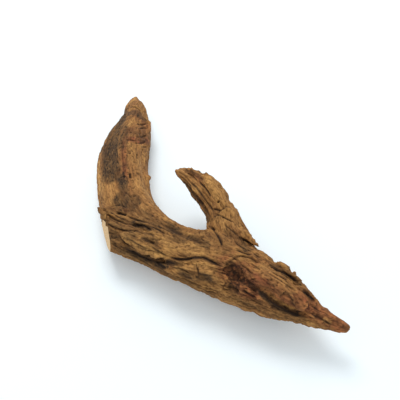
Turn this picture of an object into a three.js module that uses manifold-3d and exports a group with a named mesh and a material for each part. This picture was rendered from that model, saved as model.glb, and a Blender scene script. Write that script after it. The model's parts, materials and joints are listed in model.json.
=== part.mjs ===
// A forked piece of driftwood for an aquarium, lying on a flat surface.
// It grew as one piece: a trunk sawn off at its left end and worn to a point at its right,
// a long arm that bends up and away from the sawn end, and a short broken branch.
// Millimetres, +Z up, +X to the right along the trunk, +Y away along the arm, resting on z = 0.
import * as THREE from "three";
import { mergeVertices } from "three/addons/utils/BufferGeometryUtils.js";
import Module from "manifold-3d";

const wasm = await Module();
wasm.setup();

// Gap left where the arm and the branch are parted from the trunk.
const FORK_GAP = 0.3;
// Side of the boxes that trim the whole piece: larger than the wood.
const TRIM_SIZE = 600;
// Steps used to measure a direction on a limb's surface: a share of its length, and radians.
const SHARE_STEP = 0.004;
const ANGLE_STEP = 0.02;
// A spindle's end rings keep this share of its size, so that they stay open rings.
const SPINDLE_END = 0.12;

// Stations along a limb: x, y, z of its middle, half its width and half its height there.
// The main limb is the arm from its tip, the bend, and the trunk to its worn point.
const MAIN_LIMB = [
  [-100, 162, 12, 2.5, 2],
  [-100.5, 153, 12.5, 6.5, 5.5],
  [-99, 143.5, 13, 11, 9],
  [-96, 127, 14.5, 14, 12],
  [-96.5, 104, 17, 18.3, 16],
  [-99.5, 81, 19, 23.5, 19],
  [-101.5, 51, 20.5, 26, 21],
  [-97, 20, 22, 25.5, 22],
  [-89.5, -9, 23, 25, 23],
  [-75, -34, 24, 24, 23],
  [-51, -56, 24, 22.5, 23.5],
  [-25, -70.5, 24, 22, 24],
  [3, -81, 24.5, 24.5, 25],
  [26.5, -94.5, 25.5, 24, 23.5],
  [46, -106, 27.5, 22, 20.5],
  [60.5, -116, 29, 16.3, 15.5],
  [73.5, -125, 29.5, 10.8, 10.2],
  [86, -132.5, 29.5, 6.8, 6.5],
  [96.5, -137, 29.5, 5, 4.5],
  [101, -139, 29.5, 2, 2.5],
];
// The sawn limb is the trunk's stub at the bend, fading into the trunk.
const SAWN_LIMB = [
  [-126, -22.5, 24.5, 17, 14],
  [-106, -33.5, 24.5, 18.5, 15],
  [-86, -42, 24, 20.5, 18],
  [-64, -51, 24, 21, 20],
  [-42, -60, 24, 20, 20],
  [-22, -69, 24, 17, 17],
];
const SHORT_BRANCH = [
  [-42, 15, 48, 3.5, 3.5],
  [-34.5, 10.5, 47.5, 7.5, 6.5],
  [-23.5, 3.5, 45.5, 11.5, 10],
  [-13, -7.5, 43, 14, 12],
  [-5, -20, 40, 14, 13.5],
  [1.5, -35, 36, 15.5, 15],
  [5, -51.5, 32, 19.5, 17],
  [12, -68, 28, 19, 16],
  [18, -82, 26, 13, 12],
];

// The saw cut across the stub: a point on it and its outward direction.
const SAW_CUT = { point: [-108, -35, 22], out: [-0.93, -0.3, 0.2] };
// Where each limb parts from the trunk: a point, the direction out along the limb,
// and the block that holds the limb beyond it, across and along.
const ARM_FORK = { point: [-94, -6, 22], out: [-0.2, 0.97, 0.1], across: 95, along: 200 };
const BRANCH_FORK = { point: [-1, -31.5, 38.5], out: [-0.55, 0.82, 0.15], across: 38, along: 80 };

// Places on a limb's surface are [share of its length, degrees]: 0 is its side facing
// the front, 90 its top, 180 its back and 270 its underside.
const CRACKS = [
  { on: "sawn", at: [[0.5, 18], [0.6, 23], [0.7, 25], [0.79, 30], [0.92, 36]], wide: 2.8, deep: 8 },
  { on: "main", at: [[0.56, 33], [0.585, 50], [0.605, 63], [0.638, 60]], wide: 1.5, deep: 4 },
  { on: "main", at: [[0.478, 60], [0.495, 67], [0.514, 74]], wide: 2, deep: 8 },
  { on: "main", at: [[0.7, 63], [0.73, 56], [0.76, 47], [0.8, 45], [0.86, 50]], wide: 3.2, deep: 8 },
  { on: "main", at: [[0.54, -2], [0.58, 14], [0.62, 22], [0.655, 27]], wide: 1.6, deep: 3 },
  { on: "main", at: [[0.735, 110], [0.76, 112], [0.785, 107], [0.81, 106]], wide: 1.8, deep: 4 },
  { on: "main", at: [[0.85, 78], [0.89, 70], [0.93, 66]], wide: 1.2, deep: 2.5 },
  { on: "main", at: [[0.28, 97], [0.34, 93], [0.4, 88], [0.44, 82]], wide: 1.6, deep: 1.8 },
  { on: "branch", at: [[0.681, 42], [0.735, 50], [0.779, 54], [0.832, 55]], wide: 1.5, deep: 5 },
  { on: "branch", at: [[0.159, 38], [0.252, 47], [0.456, 53], [0.584, 63], [0.673, 71]], wide: 2, deep: 3.5 },
  { on: "main", at: [[0.55, 168], [0.62, 176], [0.69, 171], [0.77, 179]], wide: 2.4, deep: 7 },
  { on: "main", at: [[0.57, 262], [0.64, 252], [0.71, 261], [0.8, 256]], wide: 2.6, deep: 6 },
  { on: "main", at: [[0.14, 12], [0.22, 4], [0.3, 11], [0.38, 6]], wide: 1.8, deep: 4 },
  { on: "main", at: [[0.2, 236], [0.29, 228], [0.38, 234], [0.45, 226]], wide: 2.2, deep: 5 },
  { on: "branch", at: [[0.177, 200], [0.336, 192], [0.496, 204], [0.655, 196]], wide: 2, deep: 4.5 },
];
const RIDGES = [
  { on: "sawn", at: [[0.4, 62], [0.55, 55], [0.68, 48], [0.8, 43]], wide: 6.5, deep: 3.6 },
  { on: "main", at: [[0.545, 10], [0.58, 28], [0.615, 41], [0.645, 44]], wide: 6.5, deep: 3 },
  { on: "main", at: [[0.685, 97], [0.73, 88], [0.775, 77], [0.81, 69], [0.838, 64]], wide: 8.5, deep: 5.5 },
  { on: "main", at: [[0.712, 134], [0.732, 130], [0.755, 126], [0.782, 130]], wide: 3.4, deep: 4.4 },
  { on: "main", at: [[0.785, 124], [0.81, 120], [0.84, 117]], wide: 2.6, deep: 3 },
  { on: "branch", at: [[0.761, 108], [0.823, 126], [0.885, 146]], wide: 3.6, deep: 4.4 },
  { on: "branch", at: [[0.283, 92], [0.345, 96], [0.434, 104], [0.54, 107], [0.69, 117]], wide: 5.5, deep: 3 },
  { on: "branch", at: [[0.142, 74], [0.195, 82], [0.274, 90]], wide: 2.2, deep: 2.6 },
  { on: "main", at: [[0.352, 161], [0.375, 164], [0.398, 158]], wide: 3, deep: 2.4 },
  { on: "main", at: [[0.19, 163], [0.212, 165], [0.236, 158]], wide: 3.4, deep: 2.6 },
  { on: "sawn", at: [[0.1, 132], [0.17, 130], [0.25, 126]], wide: 3, deep: 3.6 },
];
// Swellings of the main limb, fading over their radius: round the large knot, and the web
// that fills the crotch under the branch. Girth is the limb's half width there.
const SWELLINGS = [
  { at: [0.665, 60], height: 2.5, radius: 16, girth: 24 },
  { at: [0.602, 124], height: 8, radius: 14, girth: 24 },
];
// Cross wrinkles near the arm's tip: shares of the limb, each running over the same angles.
const WRINKLES = { shares: [0.25, 0.271, 0.292], from: 158, to: 112, wide: 1.9, deep: 1.5 };
// Sunken knots and worn holes: their place, radius and depth. The first three make the large knot.
const PITS = [
  { on: "main", at: [0.665, 60], radius: 7.5, deep: 6.5 },
  { on: "main", at: [0.651, 68], radius: 4.5, deep: 4.5 },
  { on: "main", at: [0.677, 51], radius: 5, deep: 3.5 },
  { on: "main", at: [0.39, 112], radius: 2.2, deep: 2 },
  { on: "main", at: [0.6, 205], radius: 6, deep: 5 },
  { on: "main", at: [0.33, 318], radius: 4.5, deep: 3.5 },
  { on: "branch", at: [0.496, 92], radius: 1.8, deep: 3 },
];

/** A solid from a closed geometry, its doubled vertices merged. */
function solidOf(geometry) {
  const bare = new THREE.BufferGeometry().setAttribute("position", geometry.getAttribute("position"));
  if (geometry.index) bare.setIndex(geometry.index);
  const merged = mergeVertices(bare, 1e-4);
  return new wasm.Manifold(
    new wasm.Mesh({
      numProp: 3,
      vertProperties: new Float32Array(merged.attributes.position.array),
      triVerts: new Uint32Array(merged.index.array),
    }),
  );
}

/** A cylinder with its vertices moved by place(share along, angle round, 0 in the middle or 1 on the wall). */
function carriedCylinder(around, rings, place) {
  const wall = new THREE.CylinderGeometry(1, 1, 1, around, rings);
  const position = wall.getAttribute("position");
  for (let i = 0; i < position.count; i++) {
    const across = Math.round(Math.hypot(position.getX(i), position.getZ(i)));
    const angle = Math.atan2(position.getX(i), position.getZ(i));
    const placed = place(0.5 - position.getY(i), angle, across);
    position.setXYZ(i, placed.x, placed.y, placed.z);
  }
  return solidOf(wall);
}

/** Height that a swelling adds at a place of a limb, the angle in radians. */
function swelling({ at, height, radius, girth }, length, along, angle) {
  const far = along - at[0] * length;
  const round = (angle - THREE.MathUtils.degToRad(at[1])) * girth;
  return height * Math.exp(-(far * far + round * round) / (radius * radius));
}

/** Long shallow flutes of worn grain that run with a limb, in millimetres. */
function flutes(along, angle) {
  return (
    1.1 * Math.cos(3 * angle + 0.9 * Math.sin(along / 55)) +
    0.7 * Math.cos(5 * angle - along / 42) +
    0.45 * Math.cos(9 * angle + 1.5 * Math.sin(along / 31)) +
    0.6 * Math.sin(along / 13 + 2 * angle)
  );
}

/** A limb: rings carried along its stations, with relief raised on them. */
class Limb {
  constructor(stations, relief = flutes) {
    this.line = new THREE.CatmullRomCurve3(stations.map(([x, y, z]) => new THREE.Vector3(x, y, z)));
    this.sizes = new THREE.CatmullRomCurve3(stations.map((s) => new THREE.Vector3(s[3], s[4], 0)));
    this.length = this.line.getLength();
    this.relief = relief;
  }

  /** A point of the surface, or across less than 1, towards the limb's middle. */
  pointAt(share, angle, across = 1) {
    const t = THREE.MathUtils.clamp(share, 0, 1);
    const ahead = this.line.getTangent(t);
    const side = new THREE.Vector3().crossVectors(ahead, new THREE.Vector3(0, 0, 1)).normalize();
    const up = new THREE.Vector3().crossVectors(side, ahead).normalize();
    const half = this.sizes.getPoint(t);
    // Relief fades where the limb is thin, so a worn point stays whole.
    const raised = this.relief(t * this.length, angle) * Math.min(1, half.x / 20);
    return this.line
      .getPoint(t)
      .addScaledVector(side, Math.cos(angle) * (half.x + raised) * across)
      .addScaledVector(up, Math.sin(angle) * (half.y + raised) * across);
  }

  /** The outward direction of the surface. */
  normalAt(share, angle) {
    const t = THREE.MathUtils.clamp(share, SHARE_STEP, 1 - SHARE_STEP);
    const along = this.pointAt(t + SHARE_STEP, angle).sub(this.pointAt(t - SHARE_STEP, angle));
    const round = this.pointAt(t, angle + ANGLE_STEP).sub(this.pointAt(t, angle - ANGLE_STEP));
    return round.cross(along).normalize();
  }

  solid(around, rings) {
    return carriedCylinder(around, rings, (share, angle, across) => this.pointAt(share, angle, across));
  }

  /** A spindle lying in the surface along its places: cut away it is a crack, added it is a ridge. */
  spindle({ at, wide, deep }, sides = 4) {
    const route = new THREE.CatmullRomCurve3(
      at.map(([share, degrees]) => new THREE.Vector3(share, THREE.MathUtils.degToRad(degrees), 0)),
    );
    const steps = 2 * at.length;
    const onRoute = (u) => {
      const place = route.getPoint(THREE.MathUtils.clamp(u, 0, 1));
      return this.pointAt(place.x, place.y);
    };
    return carriedCylinder(sides, steps, (u, angle, across) => {
      const place = route.getPoint(u);
      const normal = this.normalAt(place.x, place.y);
      const ahead = onRoute(u + 0.02).sub(onRoute(u - 0.02));
      const side = new THREE.Vector3().crossVectors(normal, ahead).normalize();
      const size = across * Math.max(SPINDLE_END, Math.sqrt(Math.sin(Math.PI * u)));
      return onRoute(u)
        .addScaledVector(side, Math.sin(angle) * wide * size)
        .addScaledVector(normal, Math.cos(angle) * deep * size);
    });
  }

  /** A squashed ball set in the surface, to cut a pit with. */
  pitBall({ at, radius, deep }) {
    const [share, angle] = [at[0], THREE.MathUtils.degToRad(at[1])];
    const ball = new THREE.SphereGeometry(1, 12, 6);
    const position = ball.getAttribute("position");
    for (let i = 0; i < position.count; i++) {
      const bearing = Math.atan2(position.getZ(i), position.getX(i));
      const wide = radius * (1 + 0.16 * Math.cos(2 * bearing) + 0.1 * Math.cos(5 * bearing + 1));
      position.setXYZ(i, position.getX(i) * wide, position.getY(i) * deep, position.getZ(i) * wide);
    }
    const normal = this.normalAt(share, angle);
    const turn = new THREE.Quaternion().setFromUnitVectors(new THREE.Vector3(0, 1, 0), normal);
    const centre = this.pointAt(share, angle);
    return solidOf(ball.applyQuaternion(turn).translate(centre.x, centre.y, centre.z));
  }
}

/** A box that stands on the plane through point, on the side that out points to. */
function blockBeyond({ point, out, across = TRIM_SIZE, along = TRIM_SIZE }, shift = 0) {
  const normal = new THREE.Vector3(...out).normalize();
  const base = new THREE.Vector3(...point).addScaledVector(normal, shift);
  const turn = new THREE.Quaternion().setFromUnitVectors(new THREE.Vector3(0, 0, 1), normal);
  const box = new THREE.BoxGeometry(across, across, along).translate(0, 0, along / 2);
  return solidOf(box.applyQuaternion(turn).translate(base.x, base.y, base.z));
}

const mainLength = new Limb(MAIN_LIMB).length;

/** The main limb's relief: flutes and swellings. */
function mainRelief(along, angle) {
  return SWELLINGS.reduce((sum, one) => sum + swelling(one, mainLength, along, angle), flutes(along, angle));
}

const limbs = {
  main: new Limb(MAIN_LIMB, mainRelief),
  sawn: new Limb(SAWN_LIMB),
  branch: new Limb(SHORT_BRANCH),
};

// The whole piece, before it is parted at its forks.
let wood = limbs.main.solid(32, 44);
wood = wood.add(limbs.sawn.solid(24, 8));
wood = wood.add(limbs.branch.solid(20, 13));
for (const ridge of RIDGES) wood = wood.add(limbs[ridge.on].spindle(ridge, 6));
for (const share of WRINKLES.shares) {
  const { from, to } = WRINKLES;
  const at = [[share, from], [share + 0.006, (from + to) / 2], [share, to]];
  wood = wood.add(limbs.main.spindle({ ...WRINKLES, at }));
}
for (const crack of CRACKS) wood = wood.subtract(limbs[crack.on].spindle(crack));
for (const pit of PITS) wood = wood.subtract(limbs[pit.on].pitBall(pit));
wood = wood.subtract(blockBeyond(SAW_CUT));
// Worn flat where it rests.
wood = wood.subtract(blockBeyond({ point: [0, 0, 0], out: [0, 0, -1] }));

const armSide = wood.intersect(blockBeyond(ARM_FORK));
const branchSide = wood.intersect(blockBeyond(BRANCH_FORK));
const forkBlocks = blockBeyond(ARM_FORK, -FORK_GAP).add(blockBeyond(BRANCH_FORK, -FORK_GAP));
const trunkSide = wood.subtract(forkBlocks);

/** A named piece whose own origin is its fork, or the saw cut. */
function piece(name, solid, anchor, color) {
  const { vertProperties, triVerts } = solid.getMesh();
  const geometry = new THREE.BufferGeometry();
  geometry.setAttribute("position", new THREE.BufferAttribute(new Float32Array(vertProperties), 3));
  geometry.setIndex(new THREE.BufferAttribute(new Uint32Array(triVerts), 1));
  const [x, y, z] = anchor;
  geometry.translate(-x, -y, -z).computeVertexNormals();
  const material = new THREE.MeshStandardMaterial({ color, roughness: 0.85, metalness: 0 });
  const mesh = new THREE.Mesh(geometry, material);
  mesh.name = name;
  mesh.position.set(x, y, z);
  return mesh;
}

const driftwood = new THREE.Group();
driftwood.add(piece("trunk", trunkSide, SAW_CUT.point, 0x84592f));
driftwood.add(piece("long_arm", armSide, ARM_FORK.point, 0x8d6a3c));
driftwood.add(piece("short_branch", branchSide, BRANCH_FORK.point, 0x8a5f35));

// The origin is under the middle of the whole piece.
const bounds = new THREE.Box3().setFromObject(driftwood);
const middle = bounds.getCenter(new THREE.Vector3());
driftwood.position.set(-middle.x, -middle.y, -bounds.min.z);

export default driftwood;
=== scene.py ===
"""A forked piece of driftwood, dressed over its solid model and set on a pale studio floor.

The solid model's three nodes are fused into one continuous wood, worn smooth, carved with the
plates, ledges, cracks and the knot of the real piece, given its grain, and parted again at its
two forks. Lengths are millimetres unless a name or a comment says metres.
"""

from __future__ import annotations

import json
import logging
import math
from collections.abc import Callable, Iterator
from contextlib import contextmanager
from dataclasses import dataclass, field
from enum import Enum

import bpy
import numpy as np
from mathutils import Matrix, Vector
from mathutils.bvhtree import BVHTree

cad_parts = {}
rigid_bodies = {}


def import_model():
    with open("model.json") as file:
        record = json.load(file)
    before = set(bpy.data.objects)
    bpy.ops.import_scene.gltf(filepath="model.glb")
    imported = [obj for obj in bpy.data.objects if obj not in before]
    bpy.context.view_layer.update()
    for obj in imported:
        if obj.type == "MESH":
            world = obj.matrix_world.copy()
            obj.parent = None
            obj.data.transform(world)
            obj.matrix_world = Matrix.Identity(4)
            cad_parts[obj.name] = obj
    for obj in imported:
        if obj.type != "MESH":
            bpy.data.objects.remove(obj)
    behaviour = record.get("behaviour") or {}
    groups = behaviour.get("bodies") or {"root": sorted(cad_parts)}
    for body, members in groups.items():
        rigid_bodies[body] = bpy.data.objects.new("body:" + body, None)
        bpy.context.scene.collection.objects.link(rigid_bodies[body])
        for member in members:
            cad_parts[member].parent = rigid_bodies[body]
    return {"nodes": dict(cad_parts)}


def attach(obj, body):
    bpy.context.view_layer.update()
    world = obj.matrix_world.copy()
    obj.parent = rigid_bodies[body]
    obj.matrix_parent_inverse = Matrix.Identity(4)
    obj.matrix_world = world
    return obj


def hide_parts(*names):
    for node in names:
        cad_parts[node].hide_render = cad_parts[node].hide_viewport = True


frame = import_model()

Array = np.ndarray
Object = bpy.types.Object
Socket = bpy.types.NodeSocket
Numbers = tuple[float, ...]
Colour = Numbers
Path = tuple[tuple[float, float], ...]
Place = tuple[float, float, float]
Stops = tuple[tuple[float, Colour], ...]

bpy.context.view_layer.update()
LOG = logging.getLogger("driftwood")
METRE = 1000.0  # millimetres in a metre, the unit of Blender's own scene
# Where the limbs' stations are counted from, in the frame of the solid model.
STATION_ORIGIN = np.array([12.771, -10.305, 0.0])


class LimbName(Enum):
    """The limbs that the grain follows."""

    MAIN = "main"
    SAWN = "sawn"
    BRANCH = "branch"


class MarkKind(Enum):
    """Ways in which a mark shapes the wood."""

    CRACK = "crack"
    GROOVE = "groove"
    RIDGE = "ridge"
    LEDGE = "ledge"
    HOLLOW = "hollow"
    KNOT = "knot"


class Tone(Enum):
    """What a stain changes: three colours, and how smooth the wood has worn."""

    DARK = "dark"
    RED = "red"
    PALE = "pale"
    SMOOTH = "smooth"


def rows(table: str) -> list[list[str]]:
    """The words of a table's rows, without its comments."""
    lines = [line.strip() for line in table.splitlines()]
    return [line.split() for line in lines if line and not line.startswith("#")]


def read_path(words: list[str]) -> tuple[LimbName | None, Path]:
    """A path as a table gives it.

    Args:
        words: The limb's name, if the path is counted on a limb, and its places.

    Returns:
        The limb, or None for the picture, and the places.
    """
    limb = None if "," in words[0] else LimbName(words[0])
    places = words[1:] if limb else words
    return limb, tuple(tuple(map(float, place.split(","))) for place in places)


@dataclass(frozen=True)
class Mark:
    """One carved feature.

    Its path holds places as the camera sees them, across and down in the picture, or, when a limb
    is named, shares along that limb and degrees round it. A ledge is raised on its path's left.
    """

    name: str
    kind: MarkKind
    width: float
    depth: float
    dark: float
    limb: LimbName | None
    path: Path

    @classmethod
    def read(cls, words: list[str]) -> "Mark":
        """A mark from its row."""
        return cls(words[0], MarkKind(words[1]), *map(float, words[2:5]), *read_path(words[5:]))


@dataclass(frozen=True)
class Stain:
    """One patch of colour or wear along a path, given as a mark's path is."""

    name: str
    tone: Tone
    radius: float
    strength: float
    limb: LimbName | None
    path: Path

    @classmethod
    def read(cls, words: list[str]) -> "Stain":
        """A stain from its row."""
        return cls(words[0], Tone(words[1]), *map(float, words[2:4]), *read_path(words[4:]))


@dataclass(frozen=True)
class Shift:
    """A pull that takes the skin within reach of one place to another, both as the camera sees them."""

    name: str
    start: tuple[float, float]
    end: tuple[float, float]
    reach: float


@dataclass(frozen=True)
class Splinter:
    """A proud sliver of wood, from its root to its tip as the camera sees them."""

    name: str
    root: tuple[float, float]
    tip: tuple[float, float]
    thick: float
    lift: float
    seed: int
    end: float = 0.3


# Rows of x, y and z on each limb's middle line, and the limb's half width and half height there.
STATIONS = {LimbName.MAIN: (
    (-100, 162, 12, 2.5, 2), (-100.5, 153, 12.5, 6.5, 5.5), (-99, 143.5, 13, 11, 9),
    (-96, 127, 14.5, 14, 12), (-96.5, 104, 17, 18.3, 16), (-99.5, 81, 19, 23.5, 19),
    (-101.5, 51, 20.5, 26, 21), (-97, 20, 22, 25.5, 22), (-89.5, -9, 23, 25, 23),
    (-75, -34, 24, 24, 23), (-51, -56, 24, 22.5, 23.5), (-25, -70.5, 24, 22, 24),
    (3, -81, 24.5, 24.5, 25), (26.5, -94.5, 25.5, 24, 23.5), (46, -106, 27.5, 22, 20.5),
    (60.5, -116, 29, 16.3, 15.5), (73.5, -125, 29.5, 10.8, 10.2), (86, -132.5, 29.5, 6.8, 6.5),
    (96.5, -137, 29.5, 5, 4.5), (101, -139, 29.5, 2, 2.5),
), LimbName.SAWN: (
    (-126, -22.5, 24.5, 17, 14), (-106, -33.5, 24.5, 18.5, 15), (-86, -42, 24, 20.5, 18),
    (-64, -51, 24, 21, 20), (-42, -60, 24, 20, 20), (-22, -69, 24, 17, 17),
), LimbName.BRANCH: (
    (-42, 15, 48, 3.5, 3.5), (-34.5, 10.5, 47.5, 7.5, 6.5), (-23.5, 3.5, 45.5, 11.5, 10),
    (-13, -7.5, 43, 14, 12), (-5, -20, 40, 14, 13.5), (1.5, -35, 36, 15.5, 15),
    (5, -51.5, 32, 19.5, 17), (12, -68, 28, 19, 16), (18, -82, 26, 13, 12),
)}

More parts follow.
